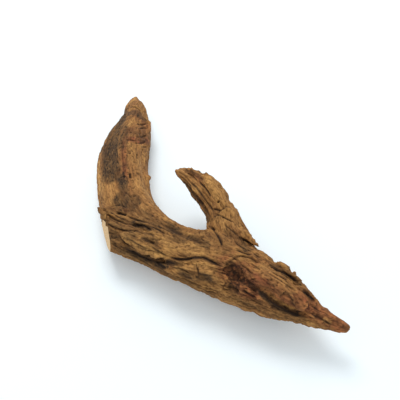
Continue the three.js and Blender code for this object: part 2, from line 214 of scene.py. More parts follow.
# The marks: name, kind, width, depth, darkness (painted shade in the mark), then the limb where one is
# named, and the path.
MARKS = [Mark.read(words) for words in rows("""
    # The long arm.
    tip_scar ledge 5 1.3 0.5 131,106.5 137,107.5 142,112
    tip_layer_1 ledge 4 1.3 0.6 149,121 144,119 138,120
    tip_layer_2 crack 1.3 1.6 0.6 136,124 142,125 148,123
    tip_layer_3 crack 1.1 1.2 0.5 138,129 143,128 149,128
    wrinkle_1 crack 1.5 1.3 0.65 125,140 131,139.5 138,141.5
    wrinkle_2 crack 1.6 1.3 0.55 136,137 142,137 147,135
    wrinkle_3 crack 1.6 1.2 0.5 134,143 141,143.5 147,141
    wrinkle_4 crack 1.1 0.9 0.5 141,147 147,147
    arm_pit_1 hollow 1.7 1.5 1 130,174 130.5,177.5
    arm_pit_2 hollow 1.9 1 0.8 124.5,176
    arm_pit_3 hollow 2.4 1.1 0.7 138.5,174
    arm_pit_4 hollow 1.9 0.8 0.7 129,153
    arm_pit_5 hollow 1.7 0.8 0.6 137,155
    arm_pit_6 hollow 1.6 0.7 0.6 134,162
    arm_pit_7 hollow 1.5 0.6 0.5 143,160
    arm_pit_8 hollow 1.6 0.7 0.6 124,165
    arm_pit_9 hollow 1.5 0.7 0.6 133,188
    arm_pit_10 hollow 1.7 0.8 0.7 134,196
    arm_line_1 groove 1.8 0.8 0.5 123,138 122.5,152 123,168 124,184
    arm_line_2 groove 1.4 0.5 0.4 128,142 127,160 127,172
    # The bend and the sawn stub.
    bend_ledge ledge 7 2.4 0.8 128,208 120,206 111,207.5 104,208.5 99,207.5
    bend_slit_1 crack 1.2 2.2 1 117,213 121,214 127,215.5
    bend_slit_2 crack 2.2 3.4 1 133,224 139,226 145,226.5 152,229.5
    bend_slit_3 crack 1.2 1.9 0.6 105,214 114,219 122,222 130,226
    bend_slit_4 crack 1.1 1.7 0.8 127,216 137,220 148,223
    bend_slit_5 crack 1.2 1.8 0.6 105,222 113,227 122,230 131,232
    bend_slit_6 crack 1.1 1.6 0.6 140,231 148,233 156,236
    bend_slit_7 crack 0.9 1.2 0.7 110,212 118,218 127,221
    bend_slit_8 crack 1 1.3 0.7 150,226 158,229 165,233
    stub_ridge_1 ridge 2.6 1.4 0 103,211 113,215.5 124,219 134,222
    stub_ridge_2 ridge 2.4 1.3 0 106,220 116,225 127,229
    chip ledge 3.2 1.3 0.5 128,210 124,207.5 120,208.5
    # The orange plates over the black crack.
    plate_edge ledge 7 3 0.9 118,235 124,240 131,246 138,250 146,254 155,257 167,257
    plate_top ledge 5 1.4 0.6 160,240 150,236 140,233.5 130,231 121,232
    plate_gap crack 1.8 1.8 0.5 141,238 148,241 156,244.5
    plate_step_1 ledge 3.5 1.5 0.6 123,236 133,240 144,246 152,249
    plate_step_2 ledge 3 1.3 0.6 137,245 147,249 158,252 164,253
    plate_step_3 ledge 3 1.5 0.8 152,246 160,251 168,256
    black_crack crack 3.4 2 0.9 122,247 132,253 141,257 149,260.5 157,262 164,261 172,263 184,265
    black_crack_2 crack 2.6 1.2 0.9 152,261 160,265 167,269
    long_crack crack 1.9 2.8 1 166,257 179,259.5 187,259.5 194,257.5 204,257.5 213,262.5 223,267
    long_lip ledge 6 1.2 0.3 224,266 214,261.5 205,256 194,256 180,258
    mid_crack_1 crack 0.9 1.5 0.6 196,263 197,269 198.5,273 198,279
    mid_step_1 ledge 3 1.1 0.6 199,265 198.5,271 201,275
    mid_crack_2 crack 1.2 1.7 0.6 172,267 181,269 190,274
    low_dent_1 hollow 3.8 1.4 0.35 202,277 207,278.5
    low_dent_2 hollow 3.2 1.2 0.35 184,275 189,277.5
    low_ledge ledge 5 1.9 0.8 150,262 161,268 172,273 185,280 198,285 214,289
    low_crack crack 1.4 2 0.6 168,272 180,277 194,283 208,289 222,293
    low_crack_2 crack 1 1.4 0.6 196,287 208,291.5 220,294
    low_crack_3 crack 1.1 1.5 0.6 128,254 140,260 152,267
    # The crotch and the trunk's back.
    crotch_crack crack 1.7 2.2 0.9 210,226 214,230 218,235 221,241 222.5,247
    crotch_fold groove 2.2 0.8 0.3 204,229 208,233 212,240
    back_groove_1 groove 3 1.5 0.5 163,224 171,228 180,234 190,238 200,242 206,245
    back_groove_2 groove 2 0.9 0.5 166,237 174,240 182,244
    back_bump ridge 4.5 1.6 0 167,222 175,226
    back_bump_2 ridge 3.5 1.2 0 180,226 187,229
    # The knot and its hood.
    knot knot 8.6 2.2 0.85 233,269 236,275 238,281 234,287
    knot_low hollow 3.2 2.2 0.8 230,288 236,290.5
    knot_tail groove 4.2 2.4 0.75 243,279 251,286 259,293
    knot_tail_2 crack 1.8 2 0.8 240,288 248,294 257,299
    knot_hood ledge 9 2.4 0.5 221,276 223,269 229,262 236,257.5 245,256 254,259 262,265
    hood_crack crack 1.1 1.5 0.6 250,262 256,266 261,270
    hood_crack_2 crack 1 1.3 0.5 240,263 247,268 254,275
    hood_lip ridge 3 1.6 0 226,266 232,261 240,259 249,261
    base_crack_1 crack 1.6 2.4 0.9 234,241 241,247 248,252
    base_crack_2 crack 1.3 2 0.9 236,250 244,254 252,256
    base_crack_3 crack 1.4 2.2 0.9 242,238 249,243 256,246
    base_crack_4 crack 1.3 1.9 0.8 246,249 252,253 260,259
    base_ledge ledge 5 1.6 0.6 238,235 247,241 257,246.5
    # The right end.
    flake ledge 8 1.5 0.6 255,283 262,290 270,297 279,303.5 290,308.5 300,311 306,309.5 309,304 307,298
    flake_groove crack 3.4 1.1 0.9 252,284 261,291.5 269,299 278,306 289,311.5 299,315 309,318
    flake_line_1 crack 0.9 0.8 0.5 264,270 274,277 284,283 297,291
    flake_line_2 crack 1 0.8 0.35 259,276 269,284 280,292 291,299
    flake_dent hollow 3 1.2 0.3 288,287 294,290
    flake_dent_2 hollow 2.4 0.9 0.3 272,281 276,284
    notch hollow 2.4 1.2 0.8 273,307 277,309
    low_strip_line crack 1.1 1 0.8 266,303 278,309 290,313.5 302,317.5
    low_strip_line_2 crack 1.1 1.4 0.6 240,293 252,299 264,304
    top_gap_1 crack 1.6 2.2 1 270,266 280,270.5 289,275.5 299,283
    top_gap_2 crack 1.2 1.8 0.8 271,272 280,276 289,281
    top_bar ridge 2.4 2 0 271,262 280,264 289,268.5
    top_bar_lower ridge 2.2 1.8 0 283,270 291,274.5 299,281
    top_dip hollow 2.6 2.2 0.7 291.5,270.5
    top_dip_2 hollow 2.6 2.2 0.7 302,285
    top_dip_3 hollow 2.4 2 0.7 309,293
    top_gap_3 crack 1.5 2.2 0.9 302,290 309,296 316,301
    tip_line_1 crack 1.1 1.5 0.7 309,304 319,310 330,316
    tip_line_2 crack 1.2 1.5 0.8 311,314 321,319 332,325
    tip_dark hollow 2.4 1.4 0.8 317,316 321,318
    tip_chip ledge 3 1.2 0.6 322,323 326,321 331,324
    # The short branch.
    branch_groove groove 3.2 2.2 0.65 182,180 190,190 197,198 204,208 209,216
    branch_crack crack 1.3 1.5 0.7 187,179 196,187 204,198 211,208 216,214
    branch_crack_2 crack 1.3 2 0.8 213,209 217,209 221,211.5
    branch_crack_3 crack 1.1 1.5 0.7 213,213 223,217 234,223
    branch_crack_4 crack 1.4 2 0.85 199,182 206,189 211,197
    branch_crack_5 crack 1 1.3 0.7 224,224 231,230 238,236
    branch_ridge ridge 4 1.6 0 205,180 212,188 219,197 227,207 234,218
    branch_ridge_2 ridge 2.4 1.4 0 192,180 199,190 206,200
    branch_hole hollow 1.6 2.8 1 218.2,201.8
    branch_nick hollow 2 2.6 1 243,225.5
    branch_notch hollow 2.6 1.4 0.4 202.5,178.5
    branch_notch_2 hollow 2.6 1.9 0.3 219.5,186.5
    branch_notch_3 hollow 2.4 1.6 0.3 230,203
    branch_notch_4 hollow 2.6 1.6 0.5 186.5,167.5 187.5,171
    branch_end_1 crack 1.2 1.6 0.5 177,171 184,175 191,183
    branch_end_2 crack 1.2 1.6 0.5 184,171 192,176 199,183
    branch_end_3 crack 1.1 1.4 0.7 180,176 186,181 192,188
    # Sides that the picture doesn't show.
    back_crack_1 crack 2.4 4.2 0.9 main 0.5,170 0.56,176 0.62,172 0.68,181
    back_crack_2 crack 1.8 3 0.8 main 0.7,160 0.75,168 0.81,163 0.87,171
    back_ledge_1 ledge 7 2 0.6 main 0.72,150 0.66,154 0.6,148 0.54,155
    back_ledge_2 ledge 7 2.2 0.6 main 0.84,200 0.78,206 0.71,201 0.64,208
    under_crack_1 crack 2.2 3.6 0.9 main 0.55,250 0.62,243 0.7,251 0.78,246
    under_crack_2 crack 1.8 2.6 0.8 main 0.6,305 0.68,311 0.76,306
    front_low_ledge ledge 6 1.8 0.6 main 0.55,330 0.63,325 0.71,331 0.79,326
    back_knot knot 8.5 3.2 0.8 main 0.6,205
    arm_back_crack crack 1.9 3 0.8 main 0.14,222 0.22,229 0.31,224 0.4,232
    arm_side_crack crack 1.6 2.4 0.7 main 0.2,10 0.27,5 0.34,12 0.4,7
    arm_side_ledge ledge 6 1.3 0.6 main 0.16,190 0.24,197 0.33,191 0.42,198
    arm_side_pit hollow 4 1.8 0.6 main 0.33,318
    branch_back_crack crack 1.7 2.8 0.9 branch 0.18,200 0.32,193 0.47,203 0.6,197
    branch_back_ledge ledge 5 1.4 0.6 branch 0.2,232 0.36,238 0.55,231
    branch_under_crack crack 1.4 2.2 0.8 branch 0.25,285 0.4,279 0.55,287
    stub_low_crack crack 1.6 2.6 0.8 sawn 0.25,338 0.4,345 0.6,341
    stub_under_crack crack 1.8 2.8 0.8 sawn 0.22,292 0.4,300 0.6,294
""")]

# The stains: name, tone, radius, strength, then the limb where one is named, and the path.
# painted highlight on the flake's lit lower rim
# painted shade in the bend's deep slit
# painted shade in the gap between the plates
# painted shade on the downward-facing lower strip
# painted shadow in the groove under the flake
# painted shadow under the plates' edge, along the black crack
STAINS = [Stain.read(words) for words in rows("""
    # The long arm: a grey-brown stain down its left half, tan wood down its right.
    arm_left dark 10.5 1.15 122,116 115,132 110,148 110,164 111,176
    arm_left_edge dark 6 0.8 122,118 111,134 103,148
    arm_left_low dark 6.5 1 106,177 119,177
    arm_tip_grey dark 6.5 0.8 131,113 137,112 142,118
    arm_middle dark 4.6 1 123,178 123,186 124,192
    arm_centre dark 6 0.7 124,128 122,145
    charcoal dark 8.4 0.85 120,200 126,198 133,203
    charcoal_low dark 8 0.6 122,209 136,214 150,222 160,227
    arm_right pale 8.5 0.15 138,150 139,165 142,185 150,203
    arm_foot pale 7.5 0.35 107,189 108,201
    arm_rim pale 3.2 1.1 98.5,162 98.5,178 99.5,192
    arm_tip pale 4.5 0.7 129,103 135,99
    arm_wrinkles red 5.5 0.9 128,139 140,140 147,140
    arm_wrinkles_dark dark 4.5 0.55 139,139 147,141
    arm_band_red red 8.5 0.5 127,131 137,131 146,131
    arm_band_dark dark 8.5 0.55 128,132 138,133 147,132
    arm_top_red red 7 0.55 134,112 142,120 146,127
    arm_line_red red 3 0.8 124,142 124,160 125,178
    arm_smooth smooth 15 0.8 108,150 110,185 108,200
    arm_smooth_2 smooth 12 0.8 136,152 140,180 152,206
    # The bend and the trunk.
    bend_grey dark 9.5 0.5 103,212 113,220 124,227 134,230
    slit_dark dark 3.2 1.2 134,224 143,226.5 151,228.5
    chip_red red 3 1.1 122,209 126,210
    chip_pale pale 2.6 0.7 122,209 126,210
    stub_grey dark 7.5 0.68 111,236 120,245 134,253
    plate_orange pale 4.5 0.8 124,236 134,242 145,248 158,253 166,256
    plate_orange_2 pale 4.5 0.7 146,231 154,235 162,240
    plate_dark dark 4 0.65 145,239 155,243
    plate_under dark 3.8 0.9 128,251 140,257 153,263 166,265
    back_green dark 5 0.95 163,225 172,229 178,232
    back_green_2 dark 3.4 0.75 176,236 184,240
    back_green_3 dark 4 0.85 190,238 199,242 207,245
    mid_tan pale 7.5 0.7 168,246 185,248 200,250
    mid_tan_low pale 5.5 0.6 178,267 196,264 212,270
    mid_smooth smooth 8 0.7 168,246 190,247 206,250
    branch_smooth smooth 6 0.6 210,183 222,200 233,215 238,228
    crotch_smooth smooth 9 0.55 212,245 222,238
    crotch_brown dark 9 0.3 203,236 213,239 222,246
    low_patch_1 dark 4.8 0.85 201,277 208,279
    low_patch_2 dark 4.2 0.8 182,274 190,277.5
    low_rim dark 4.5 0.55 120,251 140,261 160,271 185,283 212,295
    # The knot and the right end.
    knot_red red 12 1 230,268 238,274 242,282 252,288
    knot_dark dark 7.5 0.2 233,271 239,277 235,288
    hood_orange pale 4 0.8 227,264 234,259 244,258 252,262
    hood_red red 9 0.65 250,263 262,272 272,280
    flake_red red 10.5 1.1 262,278 278,290 292,299 303,304
    flake_smooth smooth 9.5 1.25 266,279 278,289 292,298 302,303
    right_red red 14 0.55 250,268 268,275 288,288 306,298
    groove_dark dark 3.2 1.2 262,293 271,301 283,308.5 296,314
    plate_smooth smooth 4.5 0.45 124,236 134,242 145,249 158,253
    low_smooth smooth 6 0.5 186,266 200,269 214,276
    flake_pale pale 7.5 1.2 262,268 276,278 290,288
    flake_light pale 8 0.35 266,283 280,293 296,301
    flake_rim pale 2.4 0.6 277,301 288,306 299,309 306,305
    tip_red red 10 0.9 314,308 326,315 340,323
    tip_chip_pale pale 2.6 1.4 325,320 329,322
    top_bars_dark dark 3.4 0.8 274,266 286,274 298,282 310,294
    low_strip_dark dark 5 0.4 236,298 256,306 280,315 302,321
    # The short branch.
    branch_left dark 4.4 0.8 184,185 194,198 203,211 208,219
    branch_tan pale 6.5 0.55 206,180 214,190 222,200 231,212 238,226
    branch_tip_red red 7.5 0.75 178,174 188,176 196,181
    branch_tip_pale pale 7.5 1.2 178,174 187,179 195,188
    branch_tip_smooth smooth 8 0.8 180,173 190,178 200,186
    branch_nub_dark dark 2.8 0.55 191,171 200,176
    branch_base_dark dark 5.5 0.6 228,234 238,241 247,250
    # Sides that the picture doesn't show.
    arm_back_grey dark 14 0.7 main 0.15,250 0.25,240 0.35,255
    arm_side_tan pale 13 0.5 main 0.2,330 0.3,340 0.4,335
    trunk_back_grey dark 12 0.7 main 0.52,190 0.6,180 0.66,195
    trunk_back_tan pale 11 0.55 main 0.7,215 0.76,225 0.8,215
    trunk_under_grey dark 14 0.6 main 0.55,280 0.65,270 0.75,285
    branch_back_grey dark 8 0.7 branch 0.2,230 0.4,220 0.5,235
    branch_back_tan pale 7 0.5 branch 0.3,150 0.5,160
""")]

SHIFTS = (
    Shift("bend_corner", (101, 210), (98.6, 207.6), 4.5),
    Shift("arm_bump", (147.5, 177), (150.2, 177), 5.0),
    Shift("arm_waist", (148.5, 150), (147.6, 150), 9.0),
    Shift("branch_corner", (178.5, 172.5), (175.6, 170.4), 6.5),
    Shift("branch_nub", (193, 171.5), (191, 168.2), 4.0),
    Shift("branch_step", (202, 171.5), (203, 177), 3.6),
    Shift("branch_hump", (207, 174.5), (206.5, 173), 3.6),
    Shift("branch_flank_1", (221.5, 187.5), (219.5, 188.8), 6.0),
    Shift("branch_flank_2", (229.5, 200), (227.0, 201.2), 7.0),
    Shift("branch_flank_3", (236, 212), (237.2, 211.4), 8.0),
    Shift("branch_flank_4", (211, 179), (212.5, 177.5), 4.0),
    Shift("bar_top", (275, 262), (275, 264.5), 7.0),
    Shift("bar_gap", (292, 271.5), (291, 273.5), 3.2),
    Shift("bar_end", (297, 276), (296, 277.5), 4.0),
    Shift("bar_spike", (298, 282), (300.5, 282.5), 3.2),
    Shift("tip_top", (322, 308), (321, 310), 7.0),
    Shift("low_edge_1", (239, 306.5), (239, 304.0), 11.0),
    Shift("low_edge_2", (254, 312), (254, 309.3), 11.0),
)

SPLINTERS = (
    Splinter("spur", (249, 240), (258.5, 247), 2.6, 1.0, 3),
    Splinter("stub_spike", (112, 212.5), (99.5, 209), 4.4, 0.4, 5, 0.4),
    Splinter("stub_spike_2", (108, 224), (100, 210), 3.8, 0.2, 6, 0.4),
    Splinter("branch_nub_1", (196, 178), (190.5, 168), 2.6, 0.5, 7),
    Splinter("branch_nub_2", (190, 180), (178, 172), 4.2, 0.8, 9, 0.5),
    Splinter("branch_nub_3", (213, 184), (205.5, 173.5), 3.4, 0.6, 11),
    Splinter("top_bar_1", (269, 263), (290.5, 269), 2.8, 1.4, 13),
    Splinter("top_bar_2", (283, 269), (300.5, 281.5), 2.3, 1.2, 15),
    Splinter("top_bar_3", (299, 285), (308, 290.5), 2.4, 1.0, 16),
    Splinter("top_bar_4", (306, 291), (316, 298.5), 2.2, 1.0, 17),
    Splinter("arm_nub", (145, 119), (151.5, 123), 2.6, 0.4, 19),
    Splinter("arm_bark", (147, 171), (149.5, 184), 2.8, 0.2, 21),
)


@dataclass(frozen=True)
class PictureView:
    """The camera, and where it sees things in a square picture.

    The aim is the point that it is turned about, seen at aim_across and aim_down in the picture.
    """

    elevation: float = math.radians(52.0)
    lens: float = 50.0
    sensor: float = 36.0
    distance: float = 550.0
    size: float = 400.0
    aim_across: float = 222.5
    aim_down: float = 214.5

    @property
    def forward(self) -> Array:
        """The way the camera looks."""
        return np.array([0.0, math.cos(self.elevation), -math.sin(self.elevation)])

    @property
    def upward(self) -> Array:
        """The camera's own up."""
        return np.array([0.0, math.sin(self.elevation), math.cos(self.elevation)])

    @property
    def eye(self) -> Array:
        """The camera's place."""
        return STATION_ORIGIN - self.distance * self.forward

    def direction(self, across: float, down: float) -> Array:
        """The way to a place of the picture.

        Args:
            across: Pixels from the picture's left edge.
            down: Pixels from its top edge.

        Returns:
            A unit vector from the eye.
        """
        focal = self.size * self.lens / self.sensor
        way = focal * self.forward - (down - self.aim_down) * self.upward
        way[0] += across - self.aim_across
        return way / np.linalg.norm(way)

    def level_with(self, place: Array, across: float, down: float) -> Array:
        """A point seen at a place of the picture, as far in front of the camera as another point.

        Args:
            place: The other point.
            across: Pixels from the picture's left edge.
            down: Pixels from its top edge.

        Returns:
            The point.
        """
        way = self.direction(across, down)
        return self.eye + way * ((place - self.eye) @ self.forward) / (way @ self.forward)

    def add_camera(self) -> None:
        """Adds the scene's camera."""
        data = bpy.data.cameras.new("picture_camera")
        data.lens = self.lens
        data.sensor_width = self.sensor
        data.shift_x = -(self.aim_across / self.size - 0.5)
        data.shift_y = self.aim_down / self.size - 0.5
        data.clip_start = 0.02
        camera = bpy.data.objects.new("picture_camera", data)
        camera.location = self.eye / METRE
        camera.rotation_euler = (math.pi / 2 - self.elevation, 0.0, 0.0)
        bpy.context.scene.collection.objects.link(camera)
        bpy.context.scene.camera = camera


class Noise:
    """A smooth random field in space, from -1 to 1, the same at every run."""

    def __init__(self, seed: int) -> None:
        """Draws the field.

        Args:
            seed: Picks the field.
        """
        draw = np.random.default_rng(seed)
        order = draw.permutation(256)
        self.order = np.concatenate([order, order]).astype(np.int32)
        slopes = draw.normal(size=(256, 3))
        self.slopes = (slopes / np.linalg.norm(slopes, axis=1)[:, None]).astype(np.float32)

    def at(self, points: Array) -> Array:
        """The field at some points.

        Args:
            points: Rows of x, y, z, with features about one unit across.

        Returns:
            One value a row.
        """
        base = np.floor(points)
        part = (points - base).astype(np.float32)
        cell = base.astype(np.int64) & 255
        ease = part * part * part * (part * (part * 6 - 15) + 10)
        total = np.zeros(len(points), np.float32)
        for corner in np.ndindex(2, 2, 2):
            step = np.array(corner)
            x, y, z = ((cell + step) & 255).T
            pick = self.order[self.order[self.order[x] + y] + z]
            share = np.where(step == 1, ease, 1 - ease).prod(axis=1)
            total += share * (self.slopes[pick] * (part - step)).sum(axis=1)
        return total * 1.6

    def layered(self, points: Array, octaves: int = 2) -> Array:
        """The field with finer fields laid over it, each half as strong.

        Args:
            points: Rows of x, y, z.
            octaves: How many fields in all.

        Returns:
            One value a row.
        """
        total = np.zeros(len(points), np.float32)
        for octave in range(octaves):
            total += 0.5**octave * self.at(points * 2.03**octave + 17.3 * octave)
        return total


def smooth_step(low: float, high: float, value: Array) -> Array:
    """A soft step from 0 to 1.

    Args:
        low: Value at which the step starts.
        high: Value at which it is done.
        value: Where it is read.

    Returns:
        The step at each value.
    """
    share = np.clip((value - low) / (high - low), 0.0, 1.0)
    return share * share * (3 - 2 * share)


def follow(points: Array, line: Array) -> tuple[Array, Array, Array]:
    """Where points lie by a line of straight steps.

    Args:
        points: Rows of x, y, z.
        line: The line's points.

    Returns:
        Each point's nearest step, its share of that step, and its offset from the line.
    """
    strides = np.diff(line, axis=0)
    best = np.full(len(points), np.inf)
    step, share = np.zeros(len(points), int), np.zeros(len(points))
    for index, (start, stride) in enumerate(zip(line, strides)):
        part = np.clip((points - start) @ stride / max(float(stride @ stride), 1e-9), 0.0, 1.0)
        gap = np.linalg.norm(points - start - part[:, None] * stride, axis=1)
        nearer = gap < best
        best[nearer], step[nearer], share[nearer] = gap[nearer], index, part[nearer]
    return step, share, points - line[step] - share[:, None] * strides[step]


class Limb:
    """A limb's middle line and its half width and height along it."""

    STEPS = 8  # how many steps the line has between two stations

    def __init__(self, stations: tuple[tuple[float, ...], ...]) -> None:
        """Draws a smooth line through the stations.

        Args:
            stations: Rows of x, y, z, half width and half height.
        """
        knots = np.array(stations, float)
        knots = np.vstack([2 * knots[0] - knots[1], knots, 2 * knots[-1] - knots[-2]])
        drawn = []
        for one in range(1, len(knots) - 2):
            p0, p1, p2, p3 = knots[one - 1 : one + 3]
            for t in np.arange(self.STEPS) / self.STEPS:
                drawn.append(0.5 * (2 * p1 + (p2 - p0) * t + (2 * p0 - 5 * p1 + 4 * p2 - p3) * t**2
                                    + (3 * p1 - p0 - 3 * p2 + p3) * t**3))
        table = np.array([*drawn, knots[-2]])
        self.line = table[:, :3] + STATION_ORIGIN
        self.halves = np.maximum(table[:, 3:], 1.5)
        steps = np.linalg.norm(np.diff(self.line, axis=0), axis=1)
        self.along = np.concatenate([[0.0], np.cumsum(steps)])
        ahead = np.gradient(self.line, axis=0)
        ahead /= np.linalg.norm(ahead, axis=1)[:, None]
        side = np.cross(ahead, (0.0, 0.0, 1.0))
        self.side = side / np.linalg.norm(side, axis=1)[:, None]
        self.up = np.cross(self.side, ahead)

    @property
    def length(self) -> float:
        """The middle line's length."""
        return float(self.along[-1])

    def outward(self, share: float, degrees: float) -> tuple[Array, Array]:
        """A point on the middle line and a way out from it.

        Args:
            share: Share of the limb's stations.
            degrees: Turn round the limb, 0 its front side and 90 its top.

        Returns:
            The point and the unit vector.
        """
        row = share * (len(self.line) - 1)
        low = min(int(row), len(self.line) - 2)
        part = row - low
        line, side, up, halves = (table[low] * (1 - part) + table[low + 1] * part
                                  for table in (self.line, self.side, self.up, self.halves))
        turn = math.radians(degrees)
        way = side * math.cos(turn) * halves[0] + up * math.sin(turn) * halves[1]
        return line, way / np.linalg.norm(way)

    def locate(self, points: Array) -> "Located":
        """Where points lie in this limb's own measure.

        Args:
            points: Rows of x, y, z.

        Returns:
            Their places along and across the limb.
        """
        step, part, off = follow(points, self.line)
        gap = np.linalg.norm(off, axis=1)

        def between(table: Array) -> Array:
            """A table's values at the points."""
            share = part.reshape(-1, *(1,) * (table.ndim - 1))
            return table[step] * (1 - share) + table[step + 1] * share

        across = np.einsum("ij,ij->i", off, between(self.side))
        above = np.einsum("ij,ij->i", off, between(self.up))
        wide, high = between(self.halves).T
        # Past an end the offset has a part along the limb too, so the full length is compared.
        wall = np.hypot(across * wide, above * high) / np.maximum(np.hypot(across, above), 1e-6)
        fullness = gap / np.maximum(wall, 1.0)
        return Located(between(self.along), across, above, fullness, (step + part) / (len(self.line) - 1))


@dataclass(frozen=True)
class Located:
    """Places in a limb's measure.

    They are along, across and above its middle line; fullness is 1 at its wall, and share is that of
    its stations.
    """

    along: Array
    across: Array
    above: Array
    fullness: Array
    share: Array


class GrainField:
    """Random patterns that run with the grain of whichever limb a point lies on."""

    SHARPNESS = 9.0  # how soon one limb's grain gives way to another's
    LEAST = 0.02  # the least share of a limb that is worked out
    APART = 400  # how far apart the limbs' own grain coordinates lie
    # How much nearer than they are the smaller limbs count, up to which share of their length.
    PULL = {LimbName.SAWN: (0.8, 0.55), LimbName.BRANCH: (0.72, 0.75)}

    def __init__(self, points: Array, limbs: dict[LimbName, Limb]) -> None:
        """Finds each point's limb.

        Args:
            points: Rows of x, y, z.
            limbs: The limbs by name.
        """
        self.places = {name: limb.locate(points) for name, limb in limbs.items()}
        fullness = np.stack([self.pulled(name) for name in limbs])
        weight = np.exp(-self.SHARPNESS * (fullness - fullness.min(axis=0)))
        weight /= weight.sum(axis=0)
        self.weights = dict(zip(limbs, weight))

    def pulled(self, name: LimbName) -> Array:
        """How near a limb's wall the points count as.

        Args:
            name: The limb.

        Returns:
            One value a point, 1 on the wall.
        """
        place = self.places[name]
        if name not in self.PULL:
            return place.fullness
        pull, until = self.PULL[name]
        return place.fullness * (pull + (1.15 - pull) * smooth_step(until, 1.0, place.share))

    def pattern(self, seed: int, across: float, along: float, octaves: int = 2,
                shape: Callable[[Array], Array] | None = None) -> Array:
        """A pattern stretched along the grain.

        Args:
            seed: Picks the pattern.
            across: Its size across the grain.
            along: Its size along the grain.
            octaves: How many layers of detail.
            shape: What is made of the pattern before the limbs' patterns are blended.

        Returns:
            One value a point, from about -1 to 1 if it isn't shaped.
        """
        total = 0.0
        for turn, (name, place) in enumerate(self.places.items()):
            weight = self.weights[name]
            near = weight > self.LEAST
            spot = np.stack([place.across / across, place.above / across, place.along / along], axis=1)
            values = np.zeros(len(weight), np.float32)
            found = Noise(seed + 101 * turn).layered(spot[near], octaves)
            values[near] = shape(found) if shape else found
            total = total + weight * values
        return total

    def coordinates(self, corners: Array, faces: Array) -> Array:
        """Grain coordinates for face corners, each face wholly in the measure of one limb.

        Args:
            corners: Each corner's point.
            faces: Each corner's face.

        Returns:
            Across, above and along for each corner, in metres.
        """
        ragged = 0.25 * self.pattern(61, 2.5, 9.0, 2)
        scores = []
        for turn, name in enumerate(self.places):
            score = self.weights[name] + (ragged if turn else 0.0)
            scores.append(np.bincount(faces, score[corners]))
        pick = np.argmax(np.stack(scores), axis=0)[faces]
        out = np.zeros((len(corners), 3))
        for turn, place in enumerate(self.places.values()):
            spots = np.stack([place.across, place.above, place.along + self.APART * turn], axis=1)
            mine = pick == turn
            out[mine] = spots[corners[mine]]
        return out / METRE


def read_all(items: bpy.types.bpy_prop_collection, name: str, width: int = 1,
             kind: type = np.float32) -> Array:
    """One property of all of a mesh's points, edges, corners or faces.

    Args:
        items: The points, edges, corners or faces.
        name: The property.
        width: How many numbers it has for each of them.
        kind: What numbers they are.

    Returns:
        A row of numbers for each, or one number for each.
    """
    flat = np.empty(len(items) * width, kind)
    items.foreach_get(name, flat)
    return flat.reshape(-1, width) if width > 1 else flat


def deselect(mesh: bpy.types.Mesh) -> None:
    """Leaves none of a mesh's points, edges and faces selected."""
    for parts in (mesh.vertices, mesh.edges, mesh.polygons):
        parts.foreach_set("select", np.zeros(len(parts), bool))


class Carving:
    """The wood's mesh as arrays, while it is shaped."""

    def __init__(self, wood: Object) -> None:
        """Reads the mesh.

        Args:
            wood: The object that is shaped.
        """
        self.wood = wood
        mesh = wood.data
        self.points = read_all(mesh.vertices, "co", 3).astype(float) * METRE
        self.normals = read_all(mesh.vertex_normals, "vector", 3).astype(float)
        self.edges = read_all(mesh.edges, "vertices", 2, np.int32)
        # dark holds the painted shade that the marks, splits and pits lay in their cracks and hollows and
        # under their ledges.
        self.move, self.cut, self.dark = np.zeros((3, len(self.points)))

    def blurred(self, values: Array, rounds: int) -> Array:
        """Values averaged with their neighbours'.

        Args:
            values: One value a point.
            rounds: How many times they are averaged.

        Returns:
            The averaged values.
        """
        one, two = self.edges.T
        count = len(values)
        ties = np.bincount(one, minlength=count) + np.bincount(two, minlength=count) + 1.0
        for _ in range(rounds):
            total = values + np.bincount(one, values[two], count) + np.bincount(two, values[one], count)
            values = total / ties
        return values

    def write(self, points: Array) -> None:
        """Puts the points back into the mesh.

        Args:
            points: Rows of x, y, z.
        """
        self.wood.data.vertices.foreach_set("co", (points / METRE).astype(np.float32).ravel())
        self.wood.data.update()


